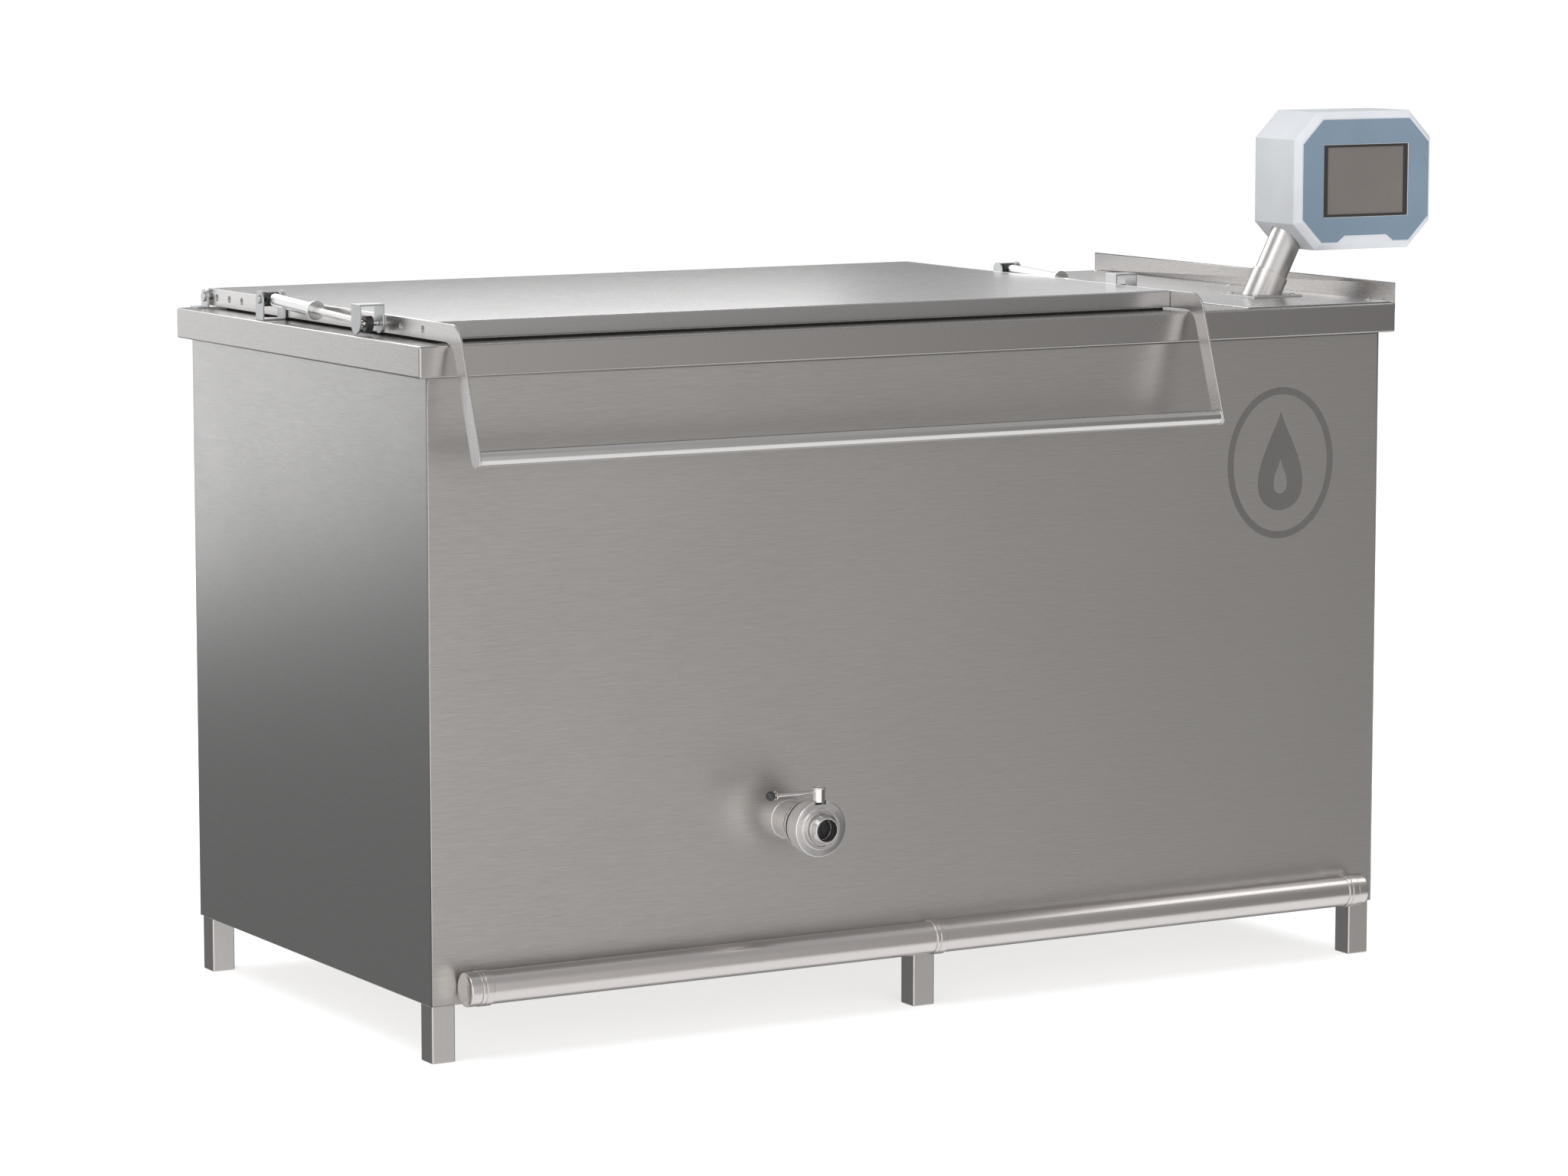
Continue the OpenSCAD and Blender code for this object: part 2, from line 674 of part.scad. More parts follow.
module clevis_pin() {
    x0 = damper_x - ear_gap / 2 - ear_t;
    rod_x(x0 - pin_head_t, x0, clevis_y, clevis_z, damper_pin_d / 2 + 3);
    rod_x(x0 - pin_head_t, x0 + ear_gap + 2 * ear_t, clevis_y, clevis_z, damper_pin_d / 2);
}

module clevis_pins() color(bright_steel) framed() {
    clevis_pin();
    mirrored() clevis_pin();
}

// The damper's own axis: +Z runs from the clevis pin to the lid bracket
module on_damper() translate([damper_x, clevis_y, clevis_z]) rotate([90 + damper_fall, 0, 0])
    children();

module damper_eye() on_damper() difference() {
    union() {
        translate([-12, 0, 0]) rotate([0, 90, 0]) cylinder(h = 24, r = damper_pin_d / 2 + 8);
        cylinder(h = 20, r = damper_d / 2 - 2);
    }
    translate([-damper_d, 0, 0]) rotate([0, 90, 0])
        cylinder(h = 2 * damper_d, r = damper_pin_d / 2 + run);
}

module damper_tube() on_damper() rotate_extrude() polygon([
    [0, 20], [damper_d / 2, 20], [damper_d / 2, damper_body_l - gland_l],
    [damper_d / 2 + 2, damper_body_l - gland_l], [damper_d / 2 + 2, damper_body_l],
    [damper_d / 2 + 4.5, damper_body_l], [damper_d / 2 + 4.5, damper_body_l + 3],
    [damper_rod_d / 2 + run, damper_body_l + 3],
    [damper_rod_d / 2 + run, damper_body_l - gland_l + 3],
    [damper_d / 2 - damper_wall, damper_body_l - gland_l + 3],
    [damper_d / 2 - damper_wall, 24], [0, 24]
]);

// The piston's running clearance is the same as the rod's
module damper_rod() on_damper() {
    translate([0, 0, piston_s]) cylinder(h = damper_l - 22 - piston_s, d = damper_rod_d);
    translate([0, 0, piston_s]) cylinder(h = 8, r = damper_d / 2 - damper_wall - run);
}

// The front eye's pin stays 0.3 mm short of the bracket's ears at both ends
module rod_end() on_damper() difference() {
    union() {
        translate([-6, 0, damper_l]) rotate([0, 90, 0]) cylinder(h = 12, r = damper_pin_d / 2 + 8.5);
        translate([0, 0, damper_l - 32]) cylinder(h = 26, r = damper_rod_d / 2 + 2.5);
        translate([-ear_gap / 2 + fit, 0, damper_l]) rotate([0, 90, 0])
            cylinder(h = rod_pin_l, d = damper_pin_d);
    }
    translate([0, 0, damper_l - 32 - cut]) cylinder(h = 10 + fit + cut, r = damper_rod_d / 2 + run);
}

module damper_eye_left() color(black) framed() damper_eye();
module damper_eye_right() color(black) framed() mirrored() damper_eye();
module damper_tube_left() color(steel) framed() damper_tube();
module damper_tube_right() color(steel) framed() mirrored() damper_tube();
module damper_rod_left() color(bright_steel) framed() damper_rod();
module damper_rod_right() color(bright_steel) framed() mirrored() damper_rod();
module rod_end_left() color(black) framed() rod_end();
module rod_end_right() color(black) framed() mirrored() rod_end();

// ---- deck and control box ----

module deck_screw_places() for (x = deck_screw_xs, y = deck_screw_ys) translate([x, y, 0]) children();

module plate_screw_places() for (i = [-1, 1], j = [-1, 1])
    translate([post_x + i * plate_screw, post_y + j * plate_screw, 0]) children();

// A line through the post's foot along the post
module on_post() translate([post_x, post_y, deck_z + plate_t]) rotate([0, post_lean, 0]) children();

module deck_cover() color(steel) framed() difference() {
    block([deck_x0, deck_y0, rim_z], [deck_x1, deck_y1, deck_z]);
    deck_screw_places() rod_z(rim_z - cut, deck_z + cut, 0, 0, 2.5 + fit);
    plate_screw_places() rod_z(rim_z - cut, deck_z + cut, 0, 0, 3 + fit);
    rod_z(rim_z - cut, deck_z + cut, post_x, post_y, post_d / 2 - 10);
}

module cover_screws() color(bright_steel) framed() {
    deck_screw_places() {
        rod_z(deck_z, deck_z + 2.2, 0, 0, 4.5);
        rod_z(deck_z - 10, deck_z, 0, 0, 2.5);
    }
    plate_screw_places() {
        rod_z(deck_z + plate_t, deck_z + plate_t + 2.6, 0, 0, 5.5);
        rod_z(deck_z - 10, deck_z + plate_t, 0, 0, 3);
    }
}

module post_foot() color(bright_steel) framed() difference() {
    union() {
        block([post_x - plate_s / 2, post_y - plate_s / 2, deck_z],
              [post_x + plate_s / 2, post_y + plate_s / 2, deck_z + plate_t]);
        difference() {
            on_post() translate([0, 0, -post_d]) cylinder(h = post_d + collar_l + 8,
                                                          r = post_d / 2 + collar_t);
            block([post_x - 2 * post_d, post_y - 2 * post_d, deck_z - 2 * post_d],
                  [post_x + 2 * post_d, post_y + 2 * post_d, deck_z + plate_t]);
        }
    }
    difference() {
        on_post() translate([0, 0, -post_d]) cylinder(h = 3 * post_d, r = post_d / 2 + run);
        block([post_x - 2 * post_d, post_y - 2 * post_d, deck_z - 2 * post_d],
              [post_x + 2 * post_d, post_y + 2 * post_d, deck_z + plate_t]);
    }
    rod_z(deck_z - cut, deck_z + plate_t + cut, post_x, post_y, post_d / 2 - 10);
    plate_screw_places() rod_z(deck_z - cut, deck_z + plate_t + cut, 0, 0, 3 + fit);
}

module post_tube() color(bright_steel) framed() difference() {
    on_post() translate([0, 0, -post_d]) cylinder(h = post_d + post_l + post_in, r = post_d / 2);
    on_post() translate([0, 0, -2 * post_d]) cylinder(h = 5 * post_d, r = post_d / 2 - post_wall);
    block([post_x - 2 * post_d, post_y - 2 * post_d, deck_z - 3 * post_d],
          [post_x + 2 * post_d, post_y + 2 * post_d, deck_z + plate_t]);
}

// An octagon in the plane of X and Z about the box's centre
module octagon(w, h, c) polygon([
    [c - w / 2, -h / 2], [w / 2 - c, -h / 2], [w / 2, c - h / 2], [w / 2, h / 2 - c],
    [w / 2 - c, h / 2], [c - w / 2, h / 2], [-w / 2, h / 2 - c], [-w / 2, c - h / 2]
]);

// An octagonal slab of the box, from y0 to y1 behind its front face, inset by i
module box_slab(y0, y1, i) translate([box_cx, box_y0 + y1, box_cz]) rotate([90, 0, 0])
    linear_extrude(y1 - y0) octagon(box_w - 2 * i, box_h - 2 * i, box_c - i * (2 - sqrt(2)));

module control_housing() color("#d4d6d9") framed() difference() {
    union() {
        hull() {
            box_slab(0, 1, box_bevel);
            box_slab(box_bevel, box_bevel + 1, 0);
        }
        box_slab(box_bevel, box_d - box_wall, 0);
    }
    difference() {
        union() {
            box_slab(box_wall, box_d + cut, box_bevel);
            box_slab(box_bevel + box_wall, box_d + cut, box_wall);
        }
        board_posts();
    }
    screen_block(screen_border, -cut, 2 * cut);
    on_post() cylinder(h = post_l + 40, r = post_d / 2 + fit);
}

module board_posts() for (i = [-1, 1], j = [-1, 1])
    translate([box_cx + i * (board_w / 2 - board_hole), board_y,
               box_cz + j * (board_h / 2 - board_hole)]) rotate([90, 0, 0])
        cylinder(h = board_y - box_y0, d = board_post_d);

module rear_cover() color("#c9cbce") framed() box_slab(box_d - box_wall, box_d, 0);

// A block around the screen, grown by g on each side, from y0 to y1 behind the box's front face
module screen_block(g, y0, y1) block(
    [box_cx - screen_w / 2 - g, box_y0 + y0, box_cz - screen_h / 2 - g / 2],
    [box_cx + screen_w / 2 + g, box_y0 + y1, box_cz + screen_h / 2 + g / 2]);

// The face plate has a notch in its lower edge
module face_plate() color("#8095a5") framed() difference() {
    translate([box_cx, box_y0, box_cz]) rotate([90, 0, 0])
        linear_extrude(face_t) difference() {
            octagon(face_w, face_h, face_c);
            polygon([[-notch_w / 2, -face_h / 2 - 1], [notch_w / 2, -face_h / 2 - 1],
                     [notch_w / 2 - notch_slope, notch_h - face_h / 2],
                     [notch_slope - notch_w / 2, notch_h - face_h / 2]]);
        }
    screen_block(screen_border, -cut, cut);
}

module screen_frame() color(black) framed() difference() {
    screen_block(screen_border - run, -face_t + 0.6, box_wall);
    screen_block(0, -cut, 2 * cut);
}

module screen_glass() color("#76706b") framed() screen_block(-run, 0, glass_t);

module control_board() color("#2e6b3c") framed() {
    block([box_cx - board_w / 2, board_y, box_cz - board_h / 2],
          [box_cx + board_w / 2, board_y + board_t, box_cz + board_h / 2]);
    for (i = [-1, 1])
        block([box_cx + i * board_w / 4 - chip_s / 2, board_y + board_t, box_cz - chip_s / 2],
              [box_cx + i * board_w / 4 + chip_s / 2, board_y + board_t + 2.4, box_cz + chip_s / 2]);
}

front_panel();
rear_panel();
side_panel(0);  // left_panel
side_panel(body_l - sheet);  // right_panel
base_pan();
base_frame();
leg(leg_xs[0], leg_ys[0]);  // leg_front_left
leg(leg_xs[1], leg_ys[0]);  // leg_front_middle
leg(leg_xs[2], leg_ys[0]);  // leg_front_right
leg(leg_xs[0], leg_ys[1]);  // leg_rear_left
leg(leg_xs[1], leg_ys[1]);  // leg_rear_middle
leg(leg_xs[2], leg_ys[1]);  // leg_rear_right
bay_partition();
inner_tank();
cooling_jacket();
insulation();
rim_frame();
lid_seal();
deck_cover();
cover_screws();
outlet_pipe();
valve_gasket();
valve_body();
valve_disc();
valve_lever();
valve_knob();
header_pipe_left();
header_pipe_right();
header_fittings();
header_stubs();
lid_panel();
lid_insulation();
lid_liner();
arm_left();
arm_right();
handle_tube();
lid_bracket_left();
lid_bracket_right();
hinge_bracket_left();
hinge_bracket_right();
hinge_pins();
damper_clevis_left();
damper_clevis_right();
clevis_pins();
damper_eye_left();
damper_eye_right();
damper_tube_left();
damper_tube_right();
damper_rod_left();
damper_rod_right();
rod_end_left();
rod_end_right();
post_foot();
post_tube();
control_housing();
rear_cover();
face_plate();
screen_frame();
screen_glass();
control_board();
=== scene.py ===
import json
import math

import bmesh
import bpy
import numpy as np
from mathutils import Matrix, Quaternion, Vector


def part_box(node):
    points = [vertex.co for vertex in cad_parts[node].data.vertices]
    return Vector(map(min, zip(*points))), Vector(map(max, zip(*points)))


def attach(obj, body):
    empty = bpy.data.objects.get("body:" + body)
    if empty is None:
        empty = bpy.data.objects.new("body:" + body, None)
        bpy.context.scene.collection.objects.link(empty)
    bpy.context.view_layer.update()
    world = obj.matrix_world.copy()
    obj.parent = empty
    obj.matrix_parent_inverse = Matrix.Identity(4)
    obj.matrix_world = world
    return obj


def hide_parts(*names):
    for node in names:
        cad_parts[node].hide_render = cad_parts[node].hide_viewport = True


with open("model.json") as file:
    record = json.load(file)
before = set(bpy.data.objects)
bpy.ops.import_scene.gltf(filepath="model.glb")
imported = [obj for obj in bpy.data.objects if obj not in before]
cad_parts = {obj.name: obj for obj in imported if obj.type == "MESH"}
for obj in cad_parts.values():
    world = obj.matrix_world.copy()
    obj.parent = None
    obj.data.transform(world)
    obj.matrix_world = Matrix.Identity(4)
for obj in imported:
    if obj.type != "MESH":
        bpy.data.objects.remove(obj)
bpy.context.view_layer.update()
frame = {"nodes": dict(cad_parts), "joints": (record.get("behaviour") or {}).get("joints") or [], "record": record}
nodes = frame["nodes"]
jointOf = {j["name"]: j for j in frame["joints"]}
bodyOf = {n: b for b, held in frame["record"]["behaviour"]["bodies"].items() for n in held}
mm = 0.001  # sizes in the pieces' dictionaries are in millimetres


def at(node):
    # Lowest and highest corner of a CAD node, as two arrays
    low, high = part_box(node)
    return np.array(low), np.array(high)


viewer = {"place": (-4.532, -7.605, 1.776), "heading": 30.03, "down": 7.30, "lens": 120.7, "film": 36,
          "farthest": 400}


def makeCamera():
    # A long lens, about thirty degrees round to the left, looking slightly down
    data = bpy.data.cameras.new("studioCamera")
    data.sensor_width, data.lens, data.clip_end = viewer["film"], viewer["lens"], viewer["farthest"]
    camera = bpy.data.objects.new("studioCamera", data)
    camera.location = viewer["place"]
    camera.rotation_euler = (math.radians(90 - viewer["down"]), 0, -math.radians(viewer["heading"]))
    bpy.context.collection.objects.link(camera)
    bpy.context.scene.camera = camera


makeCamera()
print("camera placed")


def addNode(tree, kind, **values):
    # A node with its plain attributes and its sockets' values set by name
    node = tree.nodes.new(kind)
    for key, value in values.items():
        if hasattr(node, key):
            setattr(node, key, value)
        else:
            node.inputs[key.replace("_", " ")].default_value = value
    return node


def wire(tree, *pairs):
    for start, end in pairs:
        tree.links.new(start, end)


def feed(tree, socket, value):
    # Links a socket to another one, or sets its value
    if hasattr(value, "links"):
        tree.links.new(value, socket)
    else:
        socket.default_value = value


def mathNode(tree, how, *values):
    node = addNode(tree, "ShaderNodeMath", operation=how)
    for socket, value in zip(node.inputs, values):
        feed(tree, socket, value)
    return node.outputs[0]


noiseRange = (0.3, 0.7)  # where nearly all of a noise texture's values lie


def rescale(tree, value, low, high, source=noiseRange, way="LINEAR"):
    # Spreads a value's source range over the range from low to high
    node = addNode(tree, "ShaderNodeMapRange", clamp=True, interpolation_type=way,
                   From_Min=source[0], From_Max=source[1], To_Min=low, To_Max=high)
    tree.links.new(value, node.inputs["Value"])
    return node.outputs["Result"]


def mixColour(tree, factor, a, b):
    node = addNode(tree, "ShaderNodeMix", data_type="RGBA")
    for name, value in (("Factor", factor), ("A", a), ("B", b)):
        feed(tree, node.inputs[name], value)
    return node.outputs["Result"]


def varied(tree, noise, colour, change):
    # The colour, going from a share darker to a share lighter as the noise rises
    darker, lighter = np.array(colour) * (1 - change), np.array(colour) * (1 + change)
    return mixColour(tree, rescale(tree, noise, 0, 1), (*darker, 1), (*lighter, 1))


def noiseValue(tree, vector, scale, detail, rough=0.5):
    noise = addNode(tree, "ShaderNodeTexNoise", Scale=scale, Detail=detail, Roughness=rough)
    tree.links.new(vector, noise.inputs["Vector"])
    return noise.outputs["Fac"]


def layered(tree, fine, broad, share):
    # A fine noise over a broad one, with the fine one's share of the sum
    return mathNode(tree, "ADD", mathNode(tree, "MULTIPLY", fine, share),
                    mathNode(tree, "MULTIPLY", broad, 1 - share))


def objectPlace(tree):
    return addNode(tree, "ShaderNodeTexCoord").outputs["Object"]


def objectNormal(tree):
    # The three parts of the way a face looks
    parts = addNode(tree, "ShaderNodeSeparateXYZ")
    wire(tree, (addNode(tree, "ShaderNodeTexCoord").outputs["Normal"], parts.inputs[0]))
    return parts.outputs


frontFace, endFace = -0.95, 0.7  # how far a face looks forward, or along the grain, to count as such


def looksForward(tree):
    return mathNode(tree, "LESS_THAN", objectNormal(tree)["Y"], frontFace)


def grey(value, tint=(1, 1, 1)):
    return (value * tint[0], value * tint[1], value * tint[2], 1)


steels = {
    # grain is the way the streaks run, streak the share by which they change the colour, and bump the
    # strength of their relief. glossChange is how far the roughness goes up and down, if not by the usual
    # amount, and front is the share of the colour that faces looking forward keep, a painted shade on them.
    "casing": {"colour": (0.50, 0.485, 0.47), "rough": 0.34, "grain": "x", "streak": 0.14, "bump": 0.05},
    "side": {"colour": (0.52, 0.515, 0.51), "rough": 0.33, "grain": "y", "streak": 0.07, "bump": 0.04},
    "rim": {"colour": (0.47, 0.455, 0.445), "rough": 0.27, "grain": "x", "streak": 0.05, "bump": 0.008,
            "glossChange": 0.02},
    # The lid's front share darkens its forward faces: a painted shade
    "lid": {"colour": (0.66, 0.65, 0.65), "rough": 0.27, "grain": "x", "streak": 0.015, "bump": 0.004,
            "glossChange": 0.015, "front": 0.68},
    "vat": {"colour": (0.80, 0.795, 0.79), "rough": 0.42, "grain": "x", "streak": 0.04, "bump": 0.02},
    "arm": {"colour": (0.62, 0.61, 0.605), "rough": 0.27, "grain": "y", "streak": 0.025, "bump": 0.004,
            "glossChange": 0.01},
    "bracket": {"colour": (0.56, 0.575, 0.58), "rough": 0.36, "grain": "z", "streak": 0.05, "bump": 0.03},
    "leg": {"colour": (0.58, 0.56, 0.55), "rough": 0.36, "grain": "z", "streak": 0.07, "bump": 0.04},
    "tube": {"colour": (0.70, 0.665, 0.65), "rough": 0.23, "grain": "x", "streak": 0.03, "bump": 0.005,
             "glossChange": 0.02},
    "bar": {"colour": (0.70, 0.69, 0.68), "rough": 0.15, "grain": "x", "streak": 0.02, "bump": 0.002,
            "glossChange": 0.015},
    "post": {"colour": (0.52, 0.51, 0.505), "rough": 0.36, "grain": "z", "streak": 0.03, "bump": 0.004},
    "damper": {"colour": (0.72, 0.73, 0.73), "rough": 0.20, "grain": "y", "streak": 0.02, "bump": 0.002,
               "glossChange": 0.015},
}
grainLength, grainWidth, blotch = 0.035, 0.0011, 0.35  # metres
usualChange = 0.04  # of the roughness of steel, and of the colour of a coat
coatGloss = 0.05  # change of the roughness of a coat


def finishSurface(tree, principled, tone, roughness, height, strength, depth):
    # Colour, roughness and fine relief, each from its own value
    bump = addNode(tree, "ShaderNodeBump", Strength=strength, Distance=depth)
    wire(tree, (tone, principled.inputs["Base Color"]), (roughness, principled.inputs["Roughness"]),
         (height, bump.inputs["Height"]), (bump.outputs["Normal"], principled.inputs["Normal"]))


def newMaterial(name, metal=0):
    material = bpy.data.materials.new(name)
    material.use_nodes = True
    tree = material.node_tree
    principled = tree.nodes["Principled BSDF"]
    principled.inputs["Metallic"].default_value = metal
    return material, tree, principled


def brushed(name, spec):
    # Long fine streaks along the grain, over broad faint blotches, in colour, gloss and relief
    material, tree, principled = newMaterial(name, metal=1)
    place = objectPlace(tree)
    main = "xyz".index(spec["grain"])
    stretched = []
    for way in (main, 0 if main else 1):
        scale = [1 / grainWidth] * 3
        scale[way] = 1 / grainLength
        mapping = addNode(tree, "ShaderNodeMapping", Scale=scale)
        wire(tree, (place, mapping.inputs["Vector"]))
        stretched.append(mapping.outputs["Vector"])
    # Faces square to the grain are brushed the other way
    square = mathNode(tree, "GREATER_THAN", mathNode(tree, "ABSOLUTE", objectNormal(tree)[main]), endFace)
    streaks = noiseValue(tree, mixColour(tree, square, *stretched), 1.0, 3.0, 0.6)
    broad = noiseValue(tree, place, 1 / blotch, 4.0, 0.55)
    both = layered(tree, streaks, broad, 0.72)
    tone = varied(tree, both, spec["colour"], spec["streak"])
    if "front" in spec:
        # Painted shade: faces looking forward get a darker copy of the colour than the top
        paintedShadeTone = np.array(spec["colour"]) * spec["front"]
        tone = mixColour(tree, looksForward(tree), tone, (*paintedShadeTone, 1))
    change = spec.get("glossChange", usualChange)
    gloss = rescale(tree, both, spec["rough"] + change, spec["rough"] - change)
    finishSurface(tree, principled, tone, gloss, streaks, spec["bump"], 0.0005)
    return material


def turned(name, spec, centre, axis):
    # Fine rings round an axis, as a lathe leaves them: the noise reads distance from the axis and along it
    material, tree, principled = newMaterial(name, metal=1)
    place = objectPlace(tree)
    shift = addNode(tree, "ShaderNodeMapping", Location=[-c for c in centre])
    parts = addNode(tree, "ShaderNodeSeparateXYZ")
    wire(tree, (place, shift.inputs["Vector"]), (shift.outputs["Vector"], parts.inputs[0]))
    squares = [mathNode(tree, "MULTIPLY", parts.outputs[i], parts.outputs[i]) for i in range(3) if i != axis]
    far = mathNode(tree, "SQRT", mathNode(tree, "ADD", *squares))
    join = addNode(tree, "ShaderNodeCombineXYZ")
    wire(tree, (far, join.inputs[0]), (parts.outputs[axis], join.inputs[1]))
    rings = noiseValue(tree, join.outputs[0], 1 / spec["ring"], 2.0, 0.6)
    broad = noiseValue(tree, place, 40.0, 3.0)
    both = layered(tree, rings, broad, 0.7)
    tone = varied(tree, both, spec["colour"], spec["streak"])
    gloss = rescale(tree, both, spec["roughest"], spec["smoothest"])
    finishSurface(tree, principled, tone, gloss, rings, spec["bump"], 0.0003)
    return material


def coated(name, spec):
    # Paint, plastic, rubber or foam: a fine stipple over a broad faint change of tone
    material, tree, principled = newMaterial(name)
    place = objectPlace(tree)
    fine = noiseValue(tree, place, 1 / spec["stipple"], 2.0, 0.6)
    broad = noiseValue(tree, place, 12.0, 4.0)
    tone = varied(tree, broad, spec["colour"], spec.get("change", usualChange))
    if "edge" in spec:
        # The front is printed, and the edges show the bare sheet
        tone = mixColour(tree, looksForward(tree), (*spec["edge"], 1), tone)
    gloss = rescale(tree, fine, spec["rough"] - coatGloss, spec["rough"] + coatGloss)
    finishSurface(tree, principled, tone, gloss, fine, spec["bump"], 0.0004)
    return material


coats = {
    # stipple is the size of the fine pattern in metres, change the share by which the colour varies, and edge
    # the colour of faces that don't look forward
    "boxPaint": {"colour": (0.67, 0.70, 0.735), "rough": 0.42, "stipple": 0.0012, "bump": 0.10},
    "faceBlue": {"colour": (0.176, 0.246, 0.318), "rough": 0.48, "stipple": 0.0008, "bump": 0.08,
                 "edge": (0.72, 0.73, 0.75)},
    "screenBlack": {"colour": (0.030, 0.028, 0.028), "rough": 0.35, "stipple": 0.001, "bump": 0.03},
    "screenGlass": {"colour": (0.165, 0.15, 0.14), "rough": 0.30, "stipple": 0.0006, "bump": 0.05},
    "blackRubber": {"colour": (0.022, 0.022, 0.023), "rough": 0.62, "stipple": 0.0010, "bump": 0.20},
    "blackPlastic": {"colour": (0.030, 0.030, 0.032), "rough": 0.30, "stipple": 0.0010, "bump": 0.06},
    "foam": {"colour": (0.78, 0.71, 0.47), "rough": 0.85, "stipple": 0.0025, "bump": 0.60, "change": 0.10},
    "boardGreen": {"colour": (0.03, 0.16, 0.07), "rough": 0.35, "stipple": 0.0015, "bump": 0.10},
    "markGrey": {"colour": (0.105, 0.10, 0.096), "rough": 0.45, "stipple": 0.0008, "bump": 0.10},
}
finishes = {name: brushed(name + "Steel", spec) for name, spec in steels.items()}
finishes.update({name: coated(name, spec) for name, spec in coats.items()})
valveAxis = np.array(jointOf["valve_turn"]["pos_m"])
# ring is the width of the lathe's marks in metres
ringed = {"colour": (0.68, 0.665, 0.66), "roughest": 0.27, "smoothest": 0.18, "streak": 0.06, "bump": 0.03,
          "ring": 0.0006}
finishes["turned"] = turned("turnedSteel", ringed, valveAxis, 1)
print("materials made:", len(finishes))

nodeFinish = {
    "casing": ["front_panel", "rear_panel", "base_pan", "base_frame", "bay_partition"],
    "side": ["left_panel", "right_panel"],
    "rim": ["rim_frame"],
    "lid": ["lid_panel", "deck_cover"],
    "vat": ["inner_tank", "cooling_jacket", "lid_liner"],
    "arm": ["arm_left", "arm_right"],
    "bracket": ["lid_bracket_left", "lid_bracket_right", "hinge_bracket_left", "hinge_bracket_right",
                "damper_clevis_left", "damper_clevis_right", "hinge_pins", "clevis_pins"],
    "leg": [n for n in nodes if n.startswith("leg_")],
    "tube": ["header_pipe_left", "header_pipe_right", "header_fittings", "header_stubs"],
    "bar": ["handle_tube"],
    "post": ["post_foot", "post_tube", "cover_screws"],
    "damper": ["damper_tube_left", "damper_tube_right", "damper_rod_left", "damper_rod_right"],
    "turned": ["outlet_pipe", "valve_body", "valve_lever"],
    # The valve disc is rubber-faced black, which also paints the shade deep inside the valve's mouth
    "blackRubber": ["valve_gasket", "lid_seal", "valve_disc"],
    "blackPlastic": ["valve_knob", "damper_eye_left", "damper_eye_right", "rod_end_left", "rod_end_right"],
    "foam": ["insulation", "lid_insulation"],
    "boxPaint": ["control_housing", "rear_cover"],
    "faceBlue": ["face_plate"],
    "screenBlack": ["screen_frame"],
    "screenGlass": ["screen_glass"],
    "boardGreen": ["control_board"],
}
finishOf = {node: finish for finish, held in nodeFinish.items() for node in held}

for node, item in nodes.items():
    for slot in item.material_slots:
        slot.material = finishes[finishOf[node]]
print("frame dressed:", len(nodes), "nodes")


def addPiece(name, mesh, finish, node, extra=False):
    # Links and dresses a mesh that rides where a CAD node does, and stands for the node unless it is an extra
    piece = bpy.data.objects.new(name, mesh)
    bpy.context.collection.objects.link(piece)
    mesh.materials.clear()
    mesh.materials.append(finishes[finish])
    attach(piece, bodyOf[node])
    if not extra:
        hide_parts(node)
    return piece


rolling = {"segments": 3, "sharpest": 28, "flattest": 1, "creased": 32}  # the last three are degrees


def softened(node, width, shortest, weight=None, flatten=True):
    # A copy of a CAD node's mesh, merged, with its long edges rolled over as folded or cut sheet has them.
    # weight gives an edge's share of the width from its middle point.
    mesh = nodes[node].data.copy()
    shape = bmesh.new()
    shape.from_mesh(mesh)
    bmesh.ops.remove_doubles(shape, verts=shape.verts, dist=1e-6)
    if flatten:
        bmesh.ops.dissolve_limit(shape, angle_limit=math.radians(rolling["flattest"]), verts=shape.verts,
                                 edges=shape.edges)
    layer = shape.edges.layers.float.new("bevel_weight_edge")
    for edge in shape.edges:
        if len(edge.link_faces) != 2 or edge.calc_length() < shortest:
            continue
        if edge.calc_face_angle(0) > math.radians(rolling["sharpest"]):
            middle = (edge.verts[0].co + edge.verts[1].co) / 2
            edge[layer] = weight(middle) if weight else 1
    for face in shape.faces:
        face.smooth = True
    shape.to_mesh(mesh)
    shape.free()
    mesh.set_sharp_from_angle(angle=math.radians(rolling["creased"]))
    piece = addPiece(node + "_soft", mesh, finishOf[node], node)
    roll = piece.modifiers.new("roll", "BEVEL")
    roll.width, roll.segments, roll.limit_method = width, rolling["segments"], "WEIGHT"
    roll.use_clamp_overlap, roll.harden_normals = False, True


thinSheet = 0.45  # share of the roll that a cut edge of thin sheet can take
touch = 0.5 * mm  # how near an edge's middle is to a plane that the edge lies in
upstandWall = 3 * mm


def onOutline(node):
    # Weight for the edges on a node's own box, and less for those inside it
    low, high = at(node)

    def weight(middle):
        touching = sum(min(abs(m - a), abs(m - b)) < touch for m, a, b in zip(middle, low, high))
        return 1 if touching >= 2 else thinSheet

    return weight


def onRim(middle):
    # The fold along the rim's top has its full radius too, though the upstand at the right end rises above it
    low, high = at("rim_frame")
    if middle.x > high[0] - upstandWall:
        return thinSheet
    sides = sum(min(abs(m - a), abs(m - b)) < touch for m, a, b in zip(middle[:2], low, high))
    levels = low[2], high[2], at("deck_cover")[0][2]
    fold = min(abs(middle.z - level) for level in levels) < touch
    return 1 if sides + fold >= 2 else thinSheet


